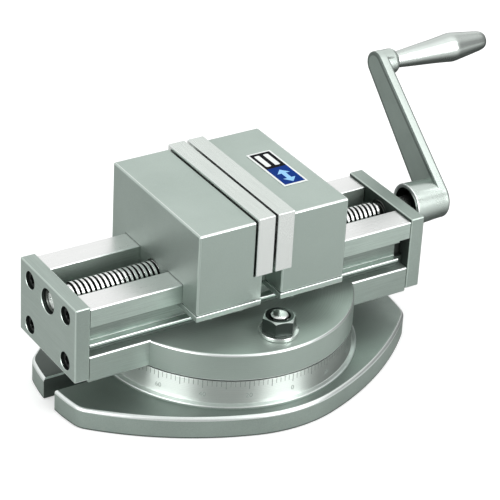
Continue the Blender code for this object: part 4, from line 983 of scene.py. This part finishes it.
def smooth_profile(keys, steps):
    """Catmull-Rom curve through (x, r) keys."""
    out = []
    for i in range(len(keys) - 1):
        p0 = Vector(keys[max(i - 1, 0)])
        p1, p2 = Vector(keys[i]), Vector(keys[i + 1])
        p3 = Vector(keys[min(i + 2, len(keys) - 1)])
        for s in range(steps):
            t = s / steps
            out.append(0.5 * ((2 * p1) + (p2 - p0) * t + (2 * p0 - 5 * p1 + 4 * p2 - p3) * t * t + (3 * p1 - p0 - 3 * p2 + p3) * t ** 3))
    out.append(Vector(keys[-1]))
    return [tuple(p) for p in out]


L = GRIP_X1 - GRIP_X0
skin = smooth_profile([(0.6, 5.2), (5.0, 5.6), (14.0, 6.45), (L - 42.0, 7.65), (L - 33.0, 8.6), (L - 28.5, 9.15), (L - 26.0, 9.37),
                       (L - 24.0, 9.3), (L - 20.0, 8.75), (L - 10.0, 7.35), (L - 4.0, 6.45), (L - 1.4, 5.75), (L - 0.3, 5.1)], 5)
prof = [(4.4, 0.4), (4.8, 0.0), (5.0, 0.1)] + [(r, x) for x, r in skin] + [(4.9, L), (4.4, L - 0.3)]
grip = temp(spin(prof, 96, (GRIP_X0, TOP_Y, TOP_Z), (1, 0, 0)))
piece("crank_grip_turned", grip, "grip", ["crank_grip"], ["grip"])

# ------------------------------------------------------------------ jaws
for e, side in ((-1, "left"), (1, "right")):
    def bx(xa, xb, *rest, **kw):
        lo, hi = sorted((e * xa, e * xb))
        return bm_box(lo, hi, *rest, **kw)

    body = side + "_jaw"
    jaw = temp(bx(JAW_TOE, JAW_BACK, -JAW_Y, JAW_Y, LEG_Z, JAW_TOP, r=1.15, seg=4))
    seat_x = JAW_GAP + PAD_T + (1.0 if e < 0 else GAP)
    cut(jaw, bx(JAW_TOE - 5, JAW_BACK + 5, -BED_Y - GAP, BED_Y + GAP, LEG_Z - 5, RAIL_TOP + GAP))
    join(jaw, bx(TONGUE_X, JAW_BACK - 0.05, -TONGUE_Y, TONGUE_Y, TONGUE_Z, RAIL_TOP + 4, r=0.6, seg=3))
    cut(jaw, bx(0, seat_x, -JAW_Y - 3, JAW_Y + 3, PAD_Z0 - GAP, JAW_TOP + 5))
    cut_each(jaw, rod((e * (TONGUE_X - 1), 0, SCREW_Z), (e, 0, 0), 27.4, NUT_R + 0.5, segs=64),
             rod((e * (TONGUE_X - 1), 0, SCREW_Z), (e, 0, 0), 40, 8.8, segs=64))
    holes = []
    for s in (-1, 1):
        holes.append(rod((e * 8, s * 30, 104), (e, 0, 0), 22, 4.2, segs=32))
        holes.append(rod((e * (TONGUE_X - 1), s * 12.6, 60.2), (e, 0, 0), 9.5, 2.0, segs=24))
        for x in (17.3, 38.5):
            holes.append(rod((e * x, s * 43.6, 60), (0, 0, 1), 20, 2.4, segs=24))
    cut(jaw, *holes)

    def paint_jaw(c, n):
        # painted shade: faces over the bed, under the jaw, in the darker side copy
        if abs(c.y) < BED_Y and c.z < RAIL_TOP + 1:
            return 2
        if edge_box(c, n) and math.hypot(c.y, c.z - SCREW_Z) > 13 and not (abs(abs(c.y) - 30) < 5 and abs(c.z - 104) < 5):
            return 5 if abs(n.z) < 0.2 or abs(n.x) > 0.3 else 1
        # painted shade: back faces in their darker copy
        if abs(n.x) > 0.9 and abs(c.x) > JAW_BACK - 1:
            return 4
        # painted shade: side faces in the darker side copy
        if abs(n.y) > 0.9:
            return 2
        # painted shade: the mouth faces and plate seat walls near-black, as shade between the jaws
        if abs(n.x) > 0.9 and abs(c.x) < JAW_TOE + 8 and (c.z > PAD_Z0 - 1 or abs(c.x) < JAW_TOE + 0.3):
            return 3
        return 0

    piece("%s_jaw_block" % side, jaw, body, [side + "_jaw"], ["iron", "edge", "iron_shaded", "iron_painted_shade", "iron_back", "plate_edge"], paint_jaw)

    pad = temp(bx(JAW_GAP, JAW_GAP + PAD_T, -PAD_Y, PAD_Y, PAD_Z0, PAD_Z1, r=0.5, seg=3))
    cut(pad, *[spin([(0, -1), (6.9 + 1.4, -1), (6.9, 0.4), (6.9, 8.6), (4.3, 8.6), (4.3, 14), (0, 14)], 64,
                    (e * JAW_GAP, s * 30, 104), (e, 0, 0)) for s in (-1, 1)])
    # the plate's top takes the darker copy (painted shade), its sides the lighter one (painted light)
    piece("%s_jaw_plate_hardened" % side, pad, body, [side + "_jaw_plate"], ["jaw_plate", "edge", "jaw_plate_top_painted_shade"],
          lambda c, n: (1 if edge_box(c, n) and not (abs(abs(c.y) - 30) < 7.5 and abs(c.z - 104) < 7.5)
                        else 2 if n.z > 0.9 and c.z > PAD_Z1 - 0.1 else 0))
    for i, s in enumerate((-1, 1)):
        cap_screw("%s_jaw_plate_cap_screw_%d" % (side, i + 1), "%s_jaw_plate_screw_%d" % (side, i + 1),
                  (e * (JAW_GAP + 1.0), s * 30, 104), (e, 0, 0), 6.4, 7.3, 3.9, 16.0, 6.0, body)

    nut = temp(bx(TONGUE_X - 4.1, TONGUE_X - GAP, -15.6, 15.6, 56.5, 80.7, r=0.5, seg=2))
    join(nut, rod((e * (TONGUE_X - 0.6), 0, SCREW_Z), (e, 0, 0), 26.2, NUT_R, segs=64))
    cut(nut, rod((e * (TONGUE_X - 8), 0, SCREW_Z), (e, 0, 0), 40, 8.4, segs=64),
        *[rod((e * 10, s * 12.6, 60.2), (e, 0, 0), 12, 2.1, segs=24) for s in (-1, 1)])
    piece("%s_jaw_nut_bronze" % side, nut, body, [side + "_jaw_nut"], ["bronze"])
    for i, s in enumerate((-1, 1)):
        cap_screw("%s_jaw_nut_cap_screw_%d" % (side, i + 1), "%s_nut_screw_%d" % (side, i + 1),
                  (e * (TONGUE_X - 4.1 - 2.5), s * 12.6, 60.2), (e, 0, 0), 3.1, 2.2, 1.65, 12.0, 2.5, body)

    for s, fb in ((-1, "front"), (1, "rear")):
        y0, y1 = sorted((s * KEEP_Y, s * JAW_Y))
        keeper = temp(bx(JAW_TOE, JAW_BACK, y0, y1, KEEP_Z0, KEEP_Z1, r=0.5, seg=3))
        cut(keeper, *[rod((e * x, s * 43.6, 60), (0, 0, 1), 12, 2.4, segs=32) for x in (17.3, 38.5)])
        piece("%s_%s_keeper_bar" % (side, fb), keeper, body, ["%s_%s_keeper" % (side, fb)], ["iron", "edge"],
              lambda c, n: 1 if edge_box(c, n) and abs(n.z) > 0.1 else 0)
        for j, x in enumerate((17.3, 38.5)):
            cap_screw("%s_%s_keeper_cap_screw_%d" % (side, fb, j + 1), "%s_%s_keeper_screw_%d" % (side, fb, j + 1),
                      (e * x, s * 43.6, KEEP_Z0 - GAP - 2.8), (0, 0, 1), 3.5, 2.8, 1.95, 16.0, 2.5, body,
                      "keeper_screw")

# ------------------------------------------------------------------ label: a generic two-colour foil plate
LX0, LX1, LY0, LY1 = 24.0, 40.5, -21.3, 21.3
LZ = JAW_TOP + 0.1
label = temp(bm_box(LX0, LX1, LY0, LY1, LZ, LZ + 0.3, r=0.1, seg=2))
piece("jaw_label_foil", label, "right_jaw", ["jaw_label"], ["label_white"])
Z1 = LZ + 0.25


def panel(points, top, name, mat):
    ob = temp(prism(points, top - Z1, "XY", Z1))
    return piece(name, ob, "right_jaw", [], [mat], weighted=False)


def rect(x0, x1, y0, y1, r=0.0):
    pts = [(x0, y0), (x1, y0), (x1, y1), (x0, y1)]
    return fillet(pts, r, 4) if r else pts


XM0, XM1 = LX0 + 1.3, LX1 - 1.3
panel(rect(XM0, XM1, 0.6, LY1 - 1.3), LZ + 0.33, "jaw_label_dark_panel", "label_black")
panel(rect(XM0, XM1, LY0 + 1.3, 0.6), LZ + 0.33, "jaw_label_blue_panel", "label_blue")
# pictogram: two plain bars for the jaws, and a double arrow for their travel
marks = [prism(rect(LX0 + 3.2, LX0 + 6.6, 3.2, 17.6, 0.8), 0.15, "XY", Z1 + 0.0),
         prism(rect(LX0 + 9.4, LX0 + 12.8, 3.2, 17.6, 0.8), 0.15, "XY", Z1 + 0.0)]
piece("jaw_label_bars", temp(merged(*marks)), "right_jaw", [], ["label_white"], weighted=False)
XC = (LX0 + LX1) / 2
arrow = [(XC, -18.2), (XC + 4.2, -13.6), (XC + 1.5, -13.6), (XC + 1.5, -7.4), (XC + 4.2, -7.4), (XC, -2.8),
         (XC - 4.2, -7.4), (XC - 1.5, -7.4), (XC - 1.5, -13.6), (XC - 4.2, -13.6)]
piece("jaw_label_arrow", temp(prism(arrow, 0.15, "XY", Z1)), "right_jaw", [], ["label_sky"], weighted=False)

# ------------------------------------------------------------------ swivel clamp bolts, washers and nuts
M12 = [(0.0, 4.95), (0.12, 4.95), (0.22, 5.08), (0.50, 5.82), (0.56, STUD_R), (0.68, STUD_R), (0.74, 5.82)]
for s, fb in ((-1, "front"), (1, "rear")):
    y = s * TEE_R
    st = [("ring", 18.0, STUD_R), ("ring", 47.0, STUD_R), ("ring", 47.8, 4.95),
          ("thread", 48.0, 61.3, 1, 1.75, M12, 4.95),
          ("ring", 61.5, 5.2), ("ring", 61.9, 4.9), ("ring", 62.2, 4.3), ("ring", 62.4, 3.2), ("ring", 62.52, 1.8), ("ring", STUD_TOP, 0.6)]
    bolt = temp(bm_box(-9.5, 9.5, y - 9.5, y + 9.5, 13.4, TEE_ROOF - GAP, r=0.8, seg=2))
    join(bolt, threaded(st, 48, (0, y, 0), (0, 0, 1)))
    piece("%s_tee_bolt_threaded" % fb, bolt, "bed", [fb + "_tee_bolt"], ["washer"], sharp=50)
    w = WASHER_T
    washer = temp(spin([(6.5, w), (WASHER_R - 0.7, w), (WASHER_R - 0.2, w - 0.2), (WASHER_R, w - 0.6), (WASHER_R, 0.3),
                        (WASHER_R - 0.3, 0.0), (6.5, 0.0)], 96, (0, y, DISC_TOP + 0.15)))
    piece("%s_clamp_washer_plain" % fb, washer, "bed", [fb + "_clamp_washer"], ["washer"])
    z0 = DISC_TOP + 0.15 + WASHER_T + 0.15
    nut = temp(spin([(0, NUT_H), (NUT_AF / math.sqrt(3), NUT_H), (NUT_AF / math.sqrt(3), 0), (0, 0)], 6, (0, y, z0),
                    turn=math.radians(-13.5)))
    boolean(nut, spin([(0, NUT_H), (8.4, NUT_H), (8.8, NUT_H - 0.12), (10.8, NUT_H - 1.25), (10.8, 0.45), (10.0, 0.0), (0, 0)], 96,
                      (0, y, z0)), 'INTERSECT')
    cut(nut, spin([(0, -1), (7.3, -1), (6.15, 0.7), (6.15, NUT_H - 0.7), (7.3, NUT_H + 1), (0, NUT_H + 1)], 64, (0, y, z0)))
    piece("%s_clamp_nut_hex" % fb, nut, fb + "_clamp_nut", [fb + "_clamp_nut"], ["zinc", "zinc_edge"],
          lambda c, n, z0=z0: 1 if 0.05 < n.z < 0.97 and c.z > z0 + NUT_H - 1.6 and math.hypot(c.x, abs(c.y) - TEE_R) > 8.2 else 0, sharp=25)

bpy.data.collections.remove(WORK)

# ------------------------------------------------------------------ stage, light, camera
scene = bpy.context.scene
scene.view_settings.view_transform = 'Standard'
scene.view_settings.look = 'None'
scene.view_settings.exposure = 0.0
scene.view_settings.gamma = 1.0

bm = bmesh.new()
bmesh.ops.create_circle(bm, cap_ends=True, radius=6.0, segments=96)
me = bpy.data.meshes.new("floor")
bm.to_mesh(me)
bm.free()
floor = bpy.data.objects.new("floor", me)
floor.location = (0, 0, -0.0004)
scene.collection.objects.link(floor)
mat = bpy.data.materials.new("pale_floor")
mat.use_nodes = True
nt = mat.node_tree
nt.nodes.clear()
out = _node(nt, "ShaderNodeOutputMaterial")
lp = _node(nt, "ShaderNodeLightPath")
mix = _node(nt, "ShaderNodeMixShader")
nt.links.new(lp.outputs["Is Camera Ray"], mix.inputs[0])
grey = _node(nt, "ShaderNodeBsdfDiffuse")
# mirror-like parts see the floor behind and to the right of the vise as a dark cloth
where = _node(nt, "ShaderNodeSeparateXYZ")
nt.links.new(_node(nt, "ShaderNodeNewGeometry").outputs["Position"], where.inputs[0])
cloth = _math(nt, "MULTIPLY", _range(nt, where.outputs[0], 0.11, 0.17, 0.0, 1.0), _range(nt, where.outputs[1], -0.09, -0.03, 0.0, 1.0))
cloth = _math(nt, "MULTIPLY", cloth, lp.outputs["Is Glossy Ray"])


def floor_sector(azimuth, half, soft, level):
    """How far a glossy ray sees the floor dimmed round one compass direction."""
    a = math.radians(azimuth)
    x, y = where.outputs[0], where.outputs[1]
    far = _math(nt, "SQRT", _math(nt, "ADD", _math(nt, "MULTIPLY", x, x), _math(nt, "MULTIPLY", y, y)))
    dot = _math(nt, "ADD", _math(nt, "MULTIPLY", x, math.cos(a)), _math(nt, "MULTIPLY", y, math.sin(a)))
    dot = _math(nt, "DIVIDE", dot, _math(nt, "ADD", far, 1e-4))
    inside = _range(nt, dot, math.cos(math.radians(half + soft)), math.cos(math.radians(half - soft)), 0.0, level)
    inside = _math(nt, "MULTIPLY", inside, _range(nt, far, 0.11, 0.15, 0.0, 1.0))
    return _math(nt, "MULTIPLY", inside, lp.outputs["Is Glossy Ray"])


cloth = _math(nt, "MAXIMUM", cloth, floor_sector(-117, 22, 8, 0.42))
cloth = _math(nt, "MAXIMUM", cloth, floor_sector(8, 30, 6, 0.75))
shades = _node(nt, "ShaderNodeValToRGB")
shades.color_ramp.elements[0].color = (0.56, 0.568, 0.562, 1)
shades.color_ramp.elements[1].color = (0.07, 0.075, 0.072, 1)
nt.links.new(cloth, shades.inputs[0])
nt.links.new(shades.outputs[0], grey.inputs["Color"])
nt.links.new(grey.outputs[0], mix.inputs[1])
seen = _node(nt, "ShaderNodeAddShader")
white = _node(nt, "ShaderNodeBsdfDiffuse")
white.inputs["Color"].default_value = (0.80, 0.80, 0.80, 1)
glow = _node(nt, "ShaderNodeEmission")
glow.inputs["Color"].default_value = (1, 1, 1, 1)
glow.inputs["Strength"].default_value = 0.34
nt.links.new(white.outputs[0], seen.inputs[0])
nt.links.new(glow.outputs[0], seen.inputs[1])
nt.links.new(seen.outputs[0], mix.inputs[2])
nt.links.new(mix.outputs[0], out.inputs["Surface"])
me.materials.append(mat)

world = bpy.data.worlds.new("studio")
scene.world = world
world.use_nodes = True
nt = world.node_tree
nt.nodes.clear()
out = _node(nt, "ShaderNodeOutputWorld")
bg = _node(nt, "ShaderNodeBackground")
tc = _node(nt, "ShaderNodeTexCoord")
sep = _node(nt, "ShaderNodeSeparateXYZ")
nt.links.new(tc.outputs["Generated"], sep.inputs[0])
ramp = _node(nt, "ShaderNodeValToRGB")
els = ramp.color_ramp.elements
els[0].position, els[0].color = 0.0, (0.50, 0.505, 0.502, 1)
els[1].position, els[1].color = 1.0, (0.78, 0.79, 0.785, 1)
for pos, v in ((0.5, 0.80), (0.62, 0.92), (0.72, 1.0), (0.85, 0.95)):
    el = els.new(pos)
    el.color = (v, v * 1.005, v, 1)
nt.links.new(_range(nt, sep.outputs[2], -1.0, 1.0, 0.0, 1.0), ramp.inputs[0])


def dim_sector(azimuth, half, soft, level):
    """A darker sector of the studio, low down, round one compass direction."""
    a = math.radians(azimuth)
    flat = _math(nt, "SQRT", _math(nt, "ADD", _math(nt, "MULTIPLY", sep.outputs[0], sep.outputs[0]),
                                   _math(nt, "MULTIPLY", sep.outputs[1], sep.outputs[1])))
    dot = _math(nt, "ADD", _math(nt, "MULTIPLY", sep.outputs[0], math.cos(a)), _math(nt, "MULTIPLY", sep.outputs[1], math.sin(a)))
    dot = _math(nt, "DIVIDE", dot, _math(nt, "ADD", flat, 1e-4))
    side = _range(nt, dot, math.cos(math.radians(half + soft)), math.cos(math.radians(half - soft)), 0.0, 1.0)
    low = _range(nt, sep.outputs[2], 0.42, 0.72, 1.0, 0.0)
    return _math(nt, "SUBTRACT", 1.0, _math(nt, "MULTIPLY", _math(nt, "MULTIPLY", side, low), 1.0 - level))


dim = _math(nt, "MULTIPLY", dim_sector(-8, 41, 7, 0.30), dim_sector(-115, 26, 5, 0.38))
shade = _node(nt, "ShaderNodeVectorMath", operation='SCALE')
nt.links.new(ramp.outputs[0], shade.inputs[0])
nt.links.new(dim, shade.inputs["Scale"])
nt.links.new(shade.outputs[0], bg.inputs["Color"])
bg.inputs["Strength"].default_value = 1.0
bgc = _node(nt, "ShaderNodeBackground")
bgc.inputs["Color"].default_value = (1, 1, 1, 1)
bgc.inputs["Strength"].default_value = 1.05
lpw = _node(nt, "ShaderNodeLightPath")
mixw = _node(nt, "ShaderNodeMixShader")
nt.links.new(lpw.outputs["Is Camera Ray"], mixw.inputs[0])
nt.links.new(bg.outputs[0], mixw.inputs[1])
nt.links.new(bgc.outputs[0], mixw.inputs[2])
nt.links.new(mixw.outputs[0], out.inputs["Surface"])


def softbox(name, azimuth, elevation, dist, size, watts, size_y=None):
    """A rectangular soft light aimed at the vise; azimuth in the XY plane from +X."""
    data = bpy.data.lights.new(name, 'AREA')
    data.shape = 'RECTANGLE'
    data.size, data.size_y = size, size_y or size
    data.energy = watts
    ob = bpy.data.objects.new(name, data)
    scene.collection.objects.link(ob)
    a, el = math.radians(azimuth), math.radians(elevation)
    d = Vector((math.cos(a) * math.cos(el), math.sin(a) * math.cos(el), math.sin(el)))
    target = Vector((0, 0, 0.06))
    ob.location = target + d * dist
    ob.rotation_euler = d.to_track_quat('Z', 'Y').to_euler()
    ob.visible_camera = False
    return ob


softbox("softbox_left", -163.5, 15, 1.5, 0.95, 11, 0.75)
softbox("softbox_front", -70.5, 18, 1.5, 0.85, 10.5, 0.85)
softbox("softbox_high", -48, 50, 1.7, 0.7, 3)
softbox("softbox_top", 20, 75, 1.8, 1.2, 3)

cam = bpy.data.cameras.new("camera")
cam.lens, cam.sensor_width = 166.74, 36.0
cam.clip_start, cam.clip_end = 0.05, 50.0
cam_ob = bpy.data.objects.new("camera", cam)
scene.collection.objects.link(cam_ob)
az, el, roll = math.radians(-33.489), math.radians(30.1), math.radians(3.294)
back = Vector((math.sin(az) * math.cos(el), -math.cos(az) * math.cos(el), math.sin(el)))
right = Vector((math.cos(az), math.sin(az), 0))
up = back.cross(right)
cx = right * math.cos(roll) + up * math.sin(roll)
cy = -right * math.sin(roll) + up * math.cos(roll)
cam_ob.matrix_world = Matrix(((cx.x, cy.x, back.x, -0.6446), (cx.y, cy.y, back.y, -0.9994),
                              (cx.z, cy.z, back.z, 0.7636), (0, 0, 0, 1)))
scene.camera = cam_ob
